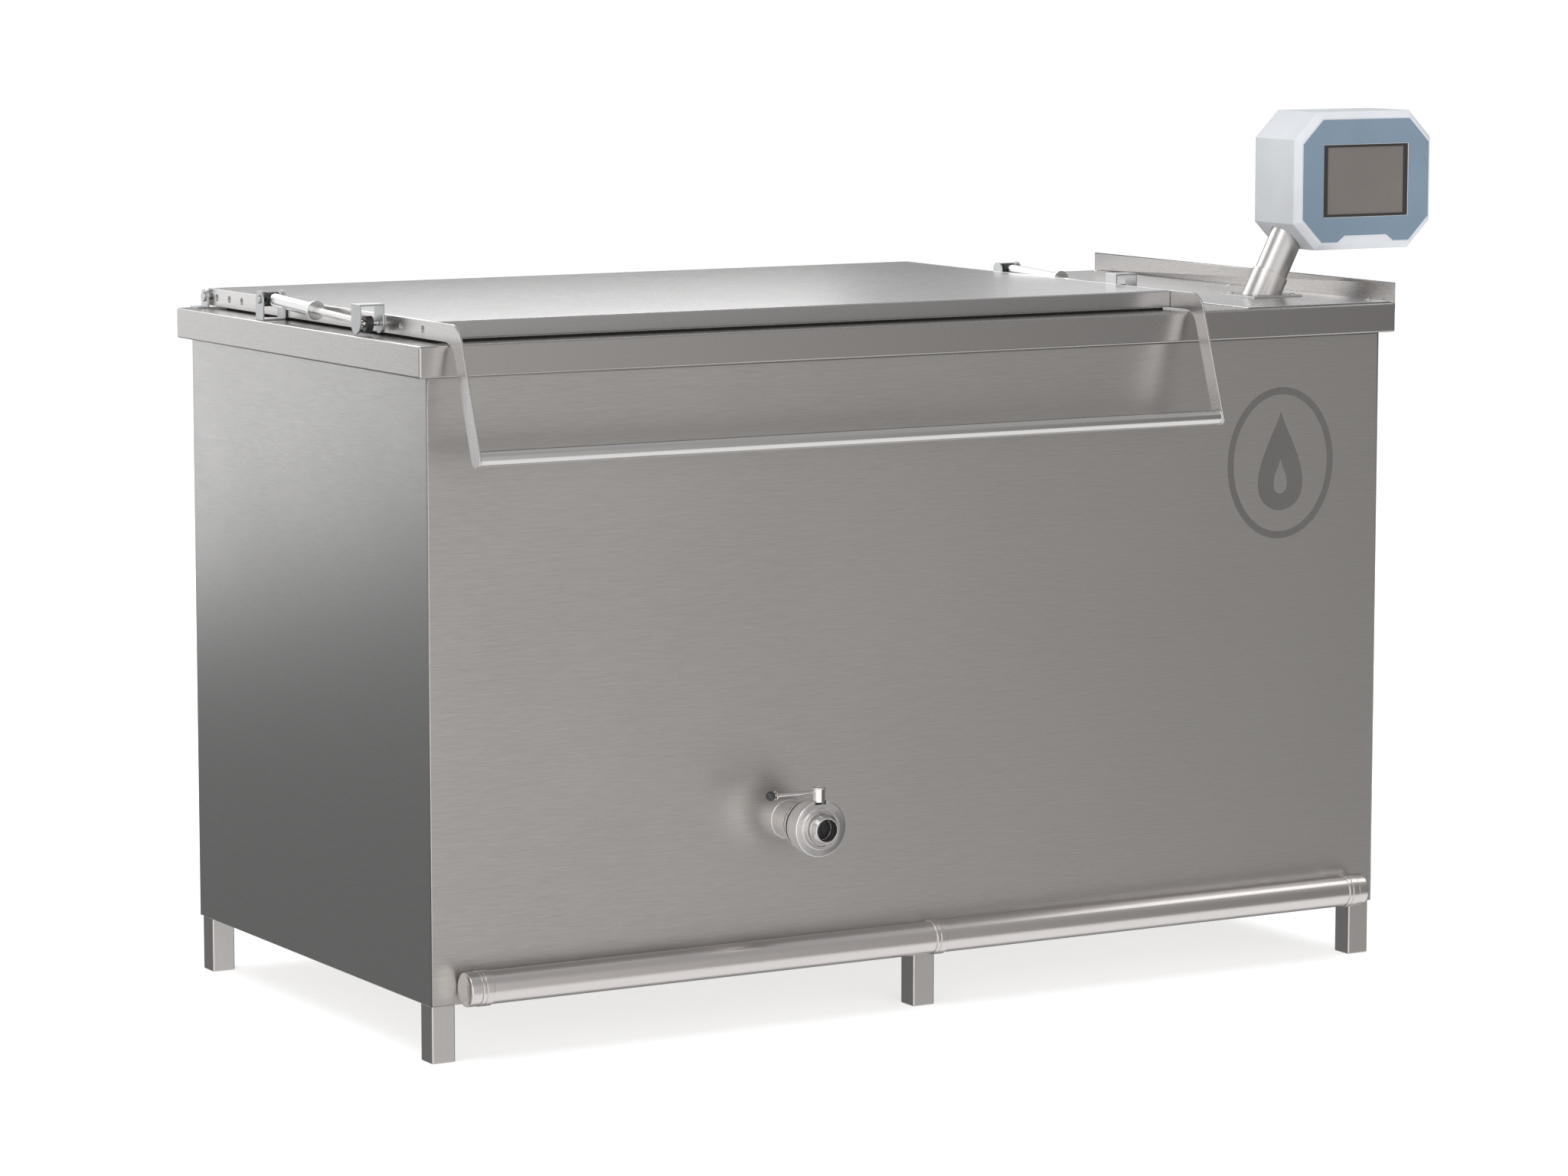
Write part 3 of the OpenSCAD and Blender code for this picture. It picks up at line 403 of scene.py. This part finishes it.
softSizes = {
    "front_panel": 3.0, "rear_panel": 3.0, "left_panel": 0.9, "right_panel": 0.9,
    "arm_left": 0.7, "arm_right": 0.7, "lid_bracket_left": 0.7, "lid_bracket_right": 0.7,
    "hinge_bracket_left": 0.8, "hinge_bracket_right": 0.8, "damper_clevis_left": 0.7,
    "damper_clevis_right": 0.7, "control_housing": 1.3, "rear_cover": 0.9, "face_plate": 0.7,
    "deck_cover": 0.7, "screen_frame": 0.5, "post_foot": 0.6, "valve_body": 0.6,
    "hinge_pins": 0.8, "clevis_pins": 0.8,
}
foldSizes = {"leg": 2.2, "rim_frame": 3.4, "lid_panel": 2.8}
rolledFrom = {"panel": 0.02, "leg": 0.03, "small": 0.0008}  # shortest edge that is rolled, in metres

for node, size in softSizes.items():
    softened(node, size * mm, rolledFrom["panel" if "panel" in node else "small"])
for node in nodeFinish["leg"]:
    softened(node, foldSizes["leg"] * mm, rolledFrom["leg"], weight=onOutline(node))
softened("rim_frame", foldSizes["rim_frame"] * mm, rolledFrom["panel"], weight=onRim, flatten=False)
softened("lid_panel", foldSizes["lid_panel"] * mm, rolledFrom["panel"], weight=onOutline("lid_panel"))
print("edges softened")


cornerSteps = 4  # on each eased corner
creaseAngle = math.radians(35)


def eased(points, radius):
    # Each corner of a closed outline becomes a short parabola that starts and ends radius away from it,
    # or two fifths of the way along a shorter side
    points = np.array(points, float)
    before, after = np.roll(points, 1, axis=0) - points, np.roll(points, -1, axis=0) - points
    long = [np.linalg.norm(side[:, :2], axis=1)[:, None] + 1e-12 for side in (before, after)]
    start = points + before * np.minimum(radius / long[0], 0.4)
    end = points + after * np.minimum(radius / long[1], 0.4)
    t = np.linspace(0, 1, cornerSteps + 1)[None, :, None]
    curve = (1 - t) ** 2 * start[:, None] + 2 * t * (1 - t) * points[:, None] + t ** 2 * end[:, None]
    return curve.reshape(-1, points.shape[1])


def gridMesh(name, grid):
    # A grid of points that closes on itself both ways becomes quads, with doubled points merged
    rows, columns = grid.shape[:2]
    row, column = np.meshgrid(np.arange(rows), np.arange(columns), indexing="ij")
    nextRow, nextColumn = (row + 1) % rows, (column + 1) % columns
    faces = np.stack([row * columns + column, nextRow * columns + column,
                      nextRow * columns + nextColumn, row * columns + nextColumn], axis=-1).reshape(-1, 4)
    mesh = bpy.data.meshes.new(name)
    mesh.from_pydata(grid.reshape(-1, 3).tolist(), [], faces.tolist())
    shape = bmesh.new()
    shape.from_mesh(mesh)
    bmesh.ops.remove_doubles(shape, verts=shape.verts, dist=1e-7)
    bmesh.ops.recalc_face_normals(shape, faces=shape.faces)
    for face in shape.faces:
        face.smooth = True
    shape.to_mesh(mesh)
    shape.free()
    mesh.set_sharp_from_angle(angle=creaseAngle)
    return mesh


def across(axis):
    # An axis at length one, and two unit vectors square to it and to each other
    axis = np.array(axis, float) / np.linalg.norm(axis)
    other = np.array((1.0, 0, 0)) if abs(axis[0]) < 0.9 else np.array((0, 0, 1.0))
    first = np.cross(axis, other)
    first /= np.linalg.norm(first)
    return axis, first, np.cross(axis, first)


def revolved(name, outline, start, axis, ease=0.4, turns=96):
    # A closed outline of (radius, reach) in millimetres carried round an axis. A third value blends the
    # circle towards a hexagon: radius = r / cos(angle from the nearest flat's middle).
    outline = eased([(*p, 0) if len(p) == 2 else p for p in outline], ease)
    axis, first, second = across(axis)
    angle = np.linspace(0, 2 * math.pi, turns, endpoint=False)
    hexagon = 1 / np.cos((angle + math.pi / 6) % (math.pi / 3) - math.pi / 6)
    radius = outline[None, :, 0] * (1 + outline[None, :, 2] * (hexagon[:, None] - 1)) * mm
    ring = np.cos(angle)[:, None, None] * first + np.sin(angle)[:, None, None] * second
    reach = (outline[:, 1] * mm)[None, :, None] * axis
    return gridMesh(name, np.array(start) + radius[..., None] * ring + reach)


def plainTube(radius, start, end, bore=0):
    # The outline of a tube, or of a rod where the bore is 0
    return [(bore, start), (radius, start), (radius, end), (bore, end)]


def withMirror(half):
    # An outline from the half of it on one side of its middle
    return half + [(radius, -reach) for radius, reach in reversed(half)]


weld = {"swell": 0.10, "sides": 10}


def beadMesh(name, path, radius, pitch):
    # A weld bead: a circle carried round a closed path, its radius swelling a little with every pitch
    along = np.roll(path, -1, axis=0) - np.roll(path, 1, axis=0)
    along /= np.linalg.norm(along, axis=1)[:, None]
    steps = np.linalg.norm(np.roll(path, -1, axis=0) - path, axis=1)
    travelled = np.concatenate([[0], np.cumsum(steps)[:-1]])
    waves = round(steps.sum() / pitch) * 2 * math.pi / steps.sum()
    size = radius * (1 + weld["swell"] * np.sin(travelled * waves))
    inward = path.mean(axis=0) - path
    inward -= (inward * along).sum(axis=1)[:, None] * along
    inward /= np.linalg.norm(inward, axis=1)[:, None]
    upward = np.cross(along, inward)
    angle = np.linspace(0, 2 * math.pi, weld["sides"], endpoint=False)
    circle = np.cos(angle)[None, :, None] * inward[:, None] + np.sin(angle)[None, :, None] * upward[:, None]
    return gridMesh(name, path[:, None] + circle * size[:, None, None])


def ringPath(centre, axis, radius, points):
    # Points round a circle: centre + radius * (cos(angle) first + sin(angle) second)
    axis, first, second = across(axis)
    angle = np.linspace(0, 2 * math.pi, points, endpoint=False)[:, None]
    return np.array(centre) + radius * (np.cos(angle) * first + np.sin(angle) * second)


def joined(name, *meshes):
    # Several meshes as one
    shape = bmesh.new()
    for mesh in meshes:
        shape.from_mesh(mesh)
        bpy.data.meshes.remove(mesh)
    whole = bpy.data.meshes.new(name)
    shape.to_mesh(whole)
    shape.free()
    whole.set_sharp_from_angle(angle=creaseAngle)
    return whole


def smoothPiece(name, mesh, finish, node, extra=False):
    # A new piece whose flat faces stay flat beside their eased corners
    piece = addPiece(name, mesh, finish, node, extra)
    even = piece.modifiers.new("even", "WEIGHTED_NORMAL")
    even.keep_sharp = True


# Radii of the outlet, and lengths from the panel or back from the sleeve's end
outlet = {"flow": 17.5, "tube": 20.5, "sleeve": 31, "flange": 40, "flare": 8.5, "lip": 5, "chamfer": 1,
          "grooveFrom": 38, "groove": 2.0, "grooveWidth": 1.8, "seam": 2.5, "seamIn": 1.5, "seamBore": 1,
          "rubberFrom": 1.6, "rubberTo": 0.3, "rubberGap": 0.1, "bead": 1.3, "beadPitch": 2.2,
          "beadPoints": 300}


def makeOutlet():
    # The sleeve and its flange, with a fine groove round the sleeve, then the gasket and a rubber line in the
    # groove, and a weld bead where the sleeve meets the panel
    forward, centre = (0, -1, 0), (valveAxis[0], 0, valveAxis[2])
    front = at("front_panel")[0][1]
    face = -front / mm
    inner = -at("outlet_pipe")[1][1] / mm
    end = -at("outlet_pipe")[0][1] / mm
    o = outlet
    groove = face + o["grooveFrom"]
    grooveEnd = groove + o["grooveWidth"]
    sleeve = [(o["flow"], inner), (o["tube"], inner), (o["tube"], face), (o["sleeve"], face),
              (o["sleeve"], groove), (o["sleeve"] - o["groove"], groove),
              (o["sleeve"] - o["groove"], grooveEnd), (o["sleeve"], grooveEnd),
              (o["sleeve"], end - o["flare"]), (o["flange"] - o["chamfer"], end - o["lip"] - o["chamfer"]),
              (o["flange"], end - o["lip"]), (o["flange"], end - o["seam"]), (o["flow"], end - o["seam"])]
    smoothPiece("outletSleeve", revolved("outletSleeve", sleeve, centre, forward, ease=0.5), "turned",
                "outlet_pipe")
    low, high = at("valve_gasket")
    ring = plainTube(o["flange"] - o["seamIn"], -high[1] / mm - o["seam"], -low[1] / mm,
                     bore=o["flow"] + o["seamBore"])
    line = plainTube(o["sleeve"] - o["rubberTo"], groove + o["rubberGap"], grooveEnd - o["rubberGap"],
                     bore=o["sleeve"] - o["rubberFrom"])
    seams = [revolved("seam", outline, centre, forward, ease=0.2) for outline in (ring, line)]
    smoothPiece("valveSeams", joined("valveSeams", *seams), "blackRubber", "valve_gasket")
    around = ringPath((centre[0], front, centre[2]), forward, o["sleeve"] * mm, o["beadPoints"])
    bead = beadMesh("sleeveWeld", around, o["bead"] * mm, o["beadPitch"] * mm)
    smoothPiece("sleeveWeld", bead, "turned", "outlet_pipe", extra=True)


# Radii of the lever, and lengths from the knob's middle or down from the grip's top
lever = {"knob": 8, "neck": 7, "washer": 2.5, "thick": 3.4, "thin": 2.8, "rodFrom": 1, "rodShort": 3,
         "bite": 0.5, "grip": 9.8, "gripRim": 11.4, "rim": 2, "dish": 1.2, "dishFrom": 3.5, "dishTo": 2.5}


def makeLever():
    # A turned grip over the stem, a tapered rod to the left, and a round knob behind a bright washer. The
    # knob's outline is a half circle: radius = r sin(angle), reach = r cos(angle).
    low, high = at("valve_lever")
    knobLow, knobHigh = at("valve_knob")
    knob = (knobLow + knobHigh) / 2
    reach = (valveAxis[0] - knob[0]) / mm
    bottom, top = low[2] / mm, high[2] / mm
    v = lever
    grip = [(0, top - v["dish"]), (v["gripRim"] - v["dishFrom"], top - v["dish"]),
            (v["gripRim"] - v["dishTo"], top), (v["gripRim"], top), (v["gripRim"], top - v["rim"]),
            (v["grip"], top - v["rim"]), (v["grip"], bottom), (0, bottom)]
    rod = [(0, v["rodFrom"]), (v["thick"], v["rodFrom"]), (v["thin"], reach - v["rodShort"]),
           (0, reach - v["rodShort"])]
    washer = plainTube(v["neck"], v["knob"], v["knob"] + v["washer"], bore=v["thick"] - v["bite"])
    whole = joined("leverBar",
                   revolved("grip", grip, (valveAxis[0], valveAxis[1], 0), (0, 0, 1), ease=0.6, turns=64),
                   revolved("rod", rod, knob, (1, 0, 0), ease=0.3, turns=32),
                   revolved("washer", washer, knob, (1, 0, 0), turns=48))
    smoothPiece("leverBar", whole, "bar", "valve_lever")
    angle = np.linspace(math.pi, 0, 25)
    ball = np.stack([v["knob"] * np.sin(angle), v["knob"] * np.cos(angle)], axis=1)
    smoothPiece("leverKnob", revolved("leverKnob", ball, knob, (1, 0, 0), ease=0.01, turns=48),
                "blackPlastic", "valve_knob")


makeOutlet()
makeLever()
print("outlet and lever made")


# Steps above and below the pipe's radius, and lengths along the header
header = {"wall": 2, "ring": 1.8, "ringLength": 20, "bite": 0.3, "lineFrom": 6, "line": 1.3, "lineWidth": 1.6,
          "cap": 22, "capOver": 0.7, "crown": 0.4, "dome": 1.6, "shoulder": 3.5}


def makeHeader():
    # Two pipes, three union rings with a groove in each, and a slightly domed cap at each end
    low, high = at("header_fittings")
    middleY, middleZ = ((low + high) / 2)[1:]
    h = header
    radius = (high[2] - low[2]) / 2 / mm - h["ring"]
    start, right = (0, middleY, middleZ), (1, 0, 0)
    for node in ("header_pipe_left", "header_pipe_right"):
        pipe = plainTube(radius, at(node)[0][0] / mm, at(node)[1][0] / mm, bore=radius - h["wall"])
        smoothPiece(node + "_tube", revolved(node, pipe, start, right, ease=0.6, turns=128), "tube", node)
    left, end = low[0] / mm, high[0] / mm
    middle = at("header_pipe_left")[1][0] / mm
    out, bore, length = radius + h["ring"], radius - h["bite"], h["ringLength"]
    parts = []
    for a in (left + h["cap"], middle - length / 2, end - h["cap"] - length):
        line = a + h["lineFrom"]
        ring = [(bore, a), (out, a), (out, line), (out - h["line"], line),
                (out - h["line"], line + h["lineWidth"]), (out, line + h["lineWidth"]),
                (out, a + length), (bore, a + length)]
        parts.append(revolved("ring", ring, start, right, ease=0.7, turns=128))
    wide = radius + h["capOver"]
    for tip, way in ((left, 1), (end, -1)):
        inner = tip + way * h["cap"]
        cap = [(0, tip), (wide * 0.5, tip + way * h["crown"]), (wide * 0.85, tip + way * h["dome"]),
               (wide, tip + way * h["shoulder"]), (wide, inner), (0, inner)]
        parts.append(revolved("cap", cap, start, right, ease=1.2, turns=128))
    smoothPiece("headerUnions", joined("headerUnions", *parts), "tube", "header_fittings")


handle = {"wall": 1.5, "bead": 1.0, "beadPitch": 1.8, "beadIn": 0.6, "beadPoints": 160}


def makeHandle():
    # The handle tube between the arms, with a weld bead round each end
    low, high = at("handle_tube")
    y, z = ((low + high) / 2)[1:]
    radius, right = (high[2] - low[2]) / 2 / mm, (1, 0, 0)
    a, b = low[0] / mm, high[0] / mm
    tube = plainTube(radius, a, b, bore=radius - handle["wall"])
    smoothPiece("handleBar", revolved("handleBar", tube, (0, y, z), right, ease=0.3), "bar", "handle_tube")
    beads = [beadMesh("bead", ringPath((x * mm, y, z), right, radius * mm, handle["beadPoints"]),
                      handle["bead"] * mm, handle["beadPitch"] * mm)
             for x in (a + handle["beadIn"], b - handle["beadIn"])]
    smoothPiece("handleWelds", joined("handleWelds", *beads), "arm", "handle_tube", extra=True)


makeHeader()
makeHandle()
print("header and handle made")


# Radii of the damper, places along it from its rear pivot, and lengths and walls of its parts
damper = {"pin": 4, "gap": 0.05, "eye": 12, "eyeHalf": 12, "neckFrom": 10, "tubeFrom": 20, "body": 11,
          "wall": 2, "floor": 4, "lineFrom": 27, "line": 0.5, "lineWidth": 1.5, "bodyEnd": 171, "gland": 13,
          "glandLength": 11, "flange": 15.5, "flangeLength": 3, "wiper": 3, "wiperDeep": 1.2, "guide": 8,
          "rod": 5.5, "piston": 28, "pistonEnd": 36, "rodShort": 22}
# Radii of the rod end, half widths of its ring and ball, and places back from the front pin
rodEnd = {"ring": 12.5, "ringHalf": 6, "bore": 1.5, "dish": 1, "ball": 1.2, "ballMiddle": 2.2, "ballFlat": 4,
          "ballHalf": 9, "bite": 0.5, "shank": 8, "shankFrom": 32, "shankTaper": 14, "shankEnd": 8, "edge": 1,
          "nut": 7.9, "nutRim": 7.5, "nutFrom": 24, "nutEnd": 17.5, "nutEdge": 1, "pinEdge": 0.6,
          "pinTaper": 0.8}


def makeDamper(side, pivot, way, long):
    # A black rear eye, the tube with its gland and flange, and the bright rod, from the pivot along the way
    d = damper
    wall, end, rodBore = d["body"] - d["wall"], d["bodyEnd"], d["rod"] + d["gap"]
    eye = withMirror([(d["pin"] + d["gap"], -d["eyeHalf"]), (d["eye"], -d["eyeHalf"])])
    whole = joined("eye", revolved("eye", eye, pivot, (1, 0, 0), ease=1.2, turns=64),
                   revolved("neck", plainTube(wall, d["neckFrom"], d["tubeFrom"]), pivot, way, turns=64))
    smoothPiece(f"damperEye_{side}", whole, "blackPlastic", f"damper_eye_{side}")
    line, lineEnd, gland = d["lineFrom"], d["lineFrom"] + d["lineWidth"], end - d["glandLength"]
    lip, wiper = end + d["flangeLength"], d["rod"] + d["wiper"]
    tube = [(0, d["tubeFrom"]), (d["body"], d["tubeFrom"]), (d["body"], line), (d["body"] - d["line"], line),
            (d["body"] - d["line"], lineEnd), (d["body"], lineEnd), (d["body"], gland), (d["gland"], gland),
            (d["gland"], end), (d["flange"], end), (d["flange"], lip), (wiper, lip),
            (wiper, lip - d["wiperDeep"]), (rodBore, lip - d["wiperDeep"]), (rodBore, end - d["guide"]),
            (wall, end - d["guide"]), (wall, d["tubeFrom"] + d["floor"]), (0, d["tubeFrom"] + d["floor"])]
    smoothPiece(f"damperTube_{side}", revolved("tube", tube, pivot, way, ease=0.5), "damper",
                f"damper_tube_{side}")
    piston, tip = wall - d["gap"], long - d["rodShort"]
    rod = [(0, d["piston"]), (piston, d["piston"]), (piston, d["pistonEnd"]), (d["rod"], d["pistonEnd"]),
           (d["rod"], tip), (0, tip)]
    smoothPiece(f"damperRod_{side}", revolved("rod", rod, pivot, way, ease=0.5, turns=64), "bar",
                f"damper_rod_{side}")


def makeRodEnd(side, front, way):
    # A black rod end with a shank and a lock nut, and the bright front pin through a ball in its ring
    r, pin, right = rodEnd, damper["pin"], (1, 0, 0)
    bore = pin + r["bore"]
    ring = withMirror([(bore, r["dish"] - r["ringHalf"]), (bore + r["dish"], -r["ringHalf"]),
                       (r["ring"], -r["ringHalf"])])
    neck = r["shank"] - r["edge"]
    shank = [(0, -r["shankFrom"]), (neck, -r["shankFrom"]), (r["shank"], r["edge"] - r["shankFrom"]),
             (r["shank"], -r["shankTaper"]), (neck, -r["shankEnd"]), (0, -r["shankEnd"])]
    nut = [(0, -r["nutFrom"], 1), (r["nutRim"], -r["nutFrom"], 1), (r["nut"], r["nutEdge"] - r["nutFrom"], 1),
           (r["nut"], -r["nutEnd"] - r["nutEdge"], 1), (r["nutRim"], -r["nutEnd"], 1), (0, -r["nutEnd"], 1)]
    whole = joined("rodEnd", revolved("ring", ring, front, right, ease=0.8, turns=64),
                   revolved("shank", shank, front, way, turns=48),
                   revolved("nut", nut, front, way, ease=0.3, turns=72))
    smoothPiece(f"rodEnd_{side}", whole, "blackPlastic", f"rod_end_{side}")
    low, high = at(f"rod_end_{side}")
    left, end = (low[0] - front[0]) / mm, (high[0] - front[0]) / mm
    rounded = pin - r["pinEdge"]
    bar = [(0, left), (rounded, left), (pin, left + r["pinTaper"]), (pin, end - r["pinTaper"]),
           (rounded, end), (0, end)]
    ball = withMirror([(pin - r["bite"], -r["ballHalf"]), (pin + r["ball"], -r["ballHalf"]),
                       (pin + r["ballMiddle"], -r["ballFlat"])])
    whole = joined("pin", revolved("pin", bar, front, right, ease=0.2, turns=48),
                   revolved("ball", ball, front, right, ease=0.5, turns=48))
    smoothPiece(f"frontPin_{side}", whole, "bar", f"rod_end_{side}", extra=True)


for side in ("left", "right"):
    pivot = np.array(jointOf[f"damper_{side}_pivot"]["pos_m"])
    way = np.array(jointOf[f"rod_{side}_slide"]["axis"])
    # The front pin lies one ring's radius behind the front of the rod end
    long = (pivot[1] - (at(f"rod_end_{side}")[0][1] + rodEnd["ring"] * mm)) / -way[1] / mm
    makeDamper(side, pivot, way, long)
    makeRodEnd(side, pivot + way * long * mm, way)
print("dampers made")


screw = {"recess": 1.3, "socket": 0.42, "brim": 1.25, "crown": 0.75, "crownHeight": 0.78, "rimHeight": 0.3}


def screwMesh(place, radius, height):
    # A domed head with a six-sided socket
    socket, floor = radius * screw["socket"], height - screw["recess"]
    outline = [(0, floor), (socket, floor, 1), (socket, height, 1), (socket * screw["brim"], height),
               (radius * screw["crown"], height * screw["crownHeight"]),
               (radius, height * screw["rimHeight"]), (radius, 0), (0, 0)]
    return revolved("screw", outline, place, (0, 0, 1), ease=0.25, turns=36)


# Distances of the screws from the edges of the deck cover and the foot plate, and the sizes of both kinds
deck = {"left": 35, "right": 15, "front": 42, "rear": 25, "radius": 4.5, "height": 2.2,
        "plate": 100, "plateInset": 12, "plateThick": 3, "plateRadius": 5.5, "plateHeight": 2.6}


def makeDeck():
    # Screws where the deck cover's and the foot plate's holes are, worked out from both pieces' edges
    low, high = at("deck_cover")
    foot = at("post_foot")[0]
    top = foot[2]
    xs = low[0] + deck["left"] * mm, high[0] - deck["right"] * mm
    ys = low[1] + deck["front"] * mm, (low[1] + high[1]) / 2, high[1] - deck["rear"] * mm
    parts = [screwMesh((x, y, top), deck["radius"], deck["height"]) for x in xs for y in ys]
    half = deck["plate"] * mm / 2
    for i in (-1, 1):
        for j in (-1, 1):
            x, y = foot[:2] + half + np.array((i, j)) * (half - deck["plateInset"] * mm)
            parts.append(screwMesh((x, y, top + deck["plateThick"] * mm), deck["plateRadius"],
                                   deck["plateHeight"]))
    smoothPiece("deckScrews", joined("deckScrews", *parts), "bar", "cover_screws")


# right and up are the middle's place, from the panel's left edge and the floor. outer and inner are the
# ring's half widths and half heights, and drop and hollow are a, b and lift in the drop's formula.
mark = {"right": 1600, "up": 859, "thick": 0.3, "proud": 0.25, "points": 160, "pinch": 1.6,
        "outer": (108, 128), "inner": (96, 116), "drop": (66, 84, 4), "hollow": (20, 30, -22)}


def makeMilkMark():
    # A plain drop inside a ring, both cut from film: angle by width grids. The drop's outline is
    # x = a sin(t) sin(t / 2) ** pinch and z = lift + b cos(t). Most of the film stands proud of the panel.
    low = at("front_panel")[0]
    x0, z0, front = mark["right"] * mm + low[0], mark["up"] * mm, low[1] - mark["proud"] * mm
    t = np.linspace(0, 2 * math.pi, mark["points"], endpoint=False)

    def layer(outline, y):
        return np.stack([outline[0], np.full_like(t, y), outline[1]], axis=1)

    def band(outer, inner):
        # A flat closed band between two outlines
        back = front + mark["thick"] * mm
        layers = [layer(outer, front), layer(inner, front), layer(inner, back), layer(outer, back)]
        return gridMesh("band", np.stack(layers, axis=1))

    def ellipse(a, b):
        return x0 + a * mm * np.sin(t), z0 + b * mm * np.cos(t)

    def drop(a, b, lift):
        pinched = np.abs(np.sin(t / 2)) ** mark["pinch"]
        return x0 + a * mm * np.sin(t) * pinched, z0 + lift * mm + b * mm * np.cos(t)

    ring = band(ellipse(*mark["outer"]), ellipse(*mark["inner"]))
    middle = band(drop(*mark["drop"]), drop(*mark["hollow"]))
    smoothPiece("milkMark", joined("milkMark", ring, middle), "markGrey", "front_panel", extra=True)


makeDeck()
makeMilkMark()
print("deck screws and milk mark made")


# Brightness of each part of the surroundings, and sizes in metres
studio = {"floor": 0.9, "floorGlow": 0.56, "floorHalf": 180, "wallPanels": 48, "wallRadius": 170,
          "wallHeight": 90, "tint": (1.02, 1.0, 0.985), "frontLeft": 1.42, "frontRight": 0.17, "back": 0.20,
          "sky": 0.42, "zenith": 0.85, "ground": 1.0, "under": 0.30}
# Where each of the surroundings' changes starts and ends, on the unit sphere
fades = {"right": (0.13, 0.63), "behind": (-0.3, 0.4), "overhead": (0.85, 1.0), "skyline": (0.3, 0.7),
         "groundBehind": (0.0, 0.45), "horizon": (-0.22, -0.52)}


def stageObject(name, points, faces, base, glow, rough=0.5):
    # Part of the studio, plain and glowing, and not mirrored in the steel
    mesh = bpy.data.meshes.new(name)
    mesh.from_pydata(points, [], faces)
    item = bpy.data.objects.new(name, mesh)
    bpy.context.collection.objects.link(item)
    material, tree, principled = newMaterial(name)
    principled.inputs["Base Color"].default_value = grey(base)
    principled.inputs["Roughness"].default_value = rough
    principled.inputs["Emission Color"].default_value = grey(1)
    principled.inputs["Emission Strength"].default_value = glow
    mesh.materials.append(material)
    item.visible_glossy = False
    return item


def makeFloor():
    h = studio["floorHalf"]
    corners = [(-h, -h, 0), (h, -h, 0), (h, h, 0), (-h, h, 0)]
    stageObject("studioFloor", corners, [(0, 1, 2, 3)], studio["floor"], studio["floorGlow"], rough=0.9)


def makeBackdrop():
    # A far white wall all round, which only the camera sees: a ring of upright panels
    turns, radius = studio["wallPanels"], studio["wallRadius"]
    angle = np.linspace(0, 2 * math.pi, turns, endpoint=False)
    ring = np.stack([radius * np.cos(angle), radius * np.sin(angle), np.zeros(turns)], axis=1)
    points = np.concatenate([ring, ring + (0, 0, studio["wallHeight"])])
    i = np.arange(turns)
    faces = np.stack([i, (i + 1) % turns, (i + 1) % turns + turns, i + turns], axis=1)
    wall = stageObject("studioBackdrop", points.tolist(), faces.tolist(), 0, 1)
    wall.visible_diffuse = wall.visible_shadow = wall.visible_transmission = False


def makeWorld():
    # A broad bright stretch in front of the tank that fades to the right, dimmer behind, and pale below
    world = bpy.data.worlds.new("studioWorld")
    bpy.context.scene.world = world
    world.use_nodes = True
    tree = world.node_tree
    parts = addNode(tree, "ShaderNodeSeparateXYZ")
    wire(tree, (addNode(tree, "ShaderNodeTexCoord").outputs["Generated"], parts.inputs[0]))

    def fade(name, axis, start, end):
        how = rescale(tree, parts.outputs[axis], 0, 1, source=fades[name], way="SMOOTHSTEP")
        return mixColour(tree, how, start, end)

    front = fade("right", "X", grey(studio["frontLeft"], studio["tint"]),
                 grey(studio["frontRight"], studio["tint"]))
    ring = fade("behind", "Y", front, grey(studio["back"]))
    sky = fade("overhead", "Z", grey(studio["sky"]), grey(studio["zenith"]))
    upper = fade("skyline", "Z", ring, sky)
    lower = fade("groundBehind", "Y", grey(studio["ground"]), grey(studio["under"]))
    whole = fade("horizon", "Z", upper, lower)
    tree.links.new(whole, tree.nodes["Background"].inputs["Color"])


def addCard(name, place, target, size, power, turn=0, mirrored=True):
    # A soft rectangular light that faces the target. One that is mirrored shows in the steel only, and one
    # that isn't lights paint and floor only.
    data = bpy.data.lights.new(name, "AREA")
    data.shape, data.size, data.size_y = "RECTANGLE", size[0], size[1]
    data.energy = power
    lamp = bpy.data.objects.new(name, data)
    lamp.location = place
    facing = (Vector(target) - Vector(place)).to_track_quat("-Z", "Y")
    lamp.rotation_euler = (facing @ Quaternion((0, 0, 1), math.radians(turn))).to_euler()
    lamp.visible_camera, lamp.visible_glossy, lamp.visible_diffuse = False, mirrored, not mirrored
    bpy.context.collection.objects.link(lamp)


cards = {
    "keyCard": {"place": (-3.5, -1.5, 4.2), "target": (0, 0, 0.8), "size": (2.5, 2.5), "power": 60},
    "sideCard": {"place": (-1.65, 3.0, 1.4), "target": (-1.65, 0, 1.4), "size": (2.7, 2.3), "power": 20.3,
                 "turn": 14},
    "lidCard": {"place": (-0.25, 1.35, 2.05), "target": (-0.25, -0.5, 1.9), "size": (2.1, 0.9),
                "power": 15.5},
    "lidCardEnd": {"place": (1.2, 1.35, 2.05), "target": (1.2, -0.5, 1.9), "size": (0.8, 0.9), "power": 1.7},
    "deckCard": {"place": (2.9, 3.0, 2.0), "target": (2.9, 0, 1.9), "size": (1.4, 0.9), "power": 2.3},
    "barCard": {"place": (2.4, -1.0, 2.3), "target": (2.4, -1.0, 0), "size": (1.6, 1.2), "power": 7},
    "fillCard": {"place": (0, 0, 9.0), "target": (0, 0, 0), "size": (14, 14), "power": 560,
                 "mirrored": False},
    "faceCard": {"place": (-1.0, -6.0, 3.0), "target": (0.5, 0, 1.2), "size": (3, 3), "power": 15,
                 "mirrored": False},
    "boxCard": {"place": (-3.5, -1.5, 4.2), "target": (0, 0, 0.8), "size": (2.5, 2.5), "power": 25,
                "mirrored": False},
}
makeFloor()
makeBackdrop()
makeWorld()
for name, card in cards.items():
    addCard(name, **card)
bpy.context.scene.view_settings.view_transform = "Standard"
print("studio lit")
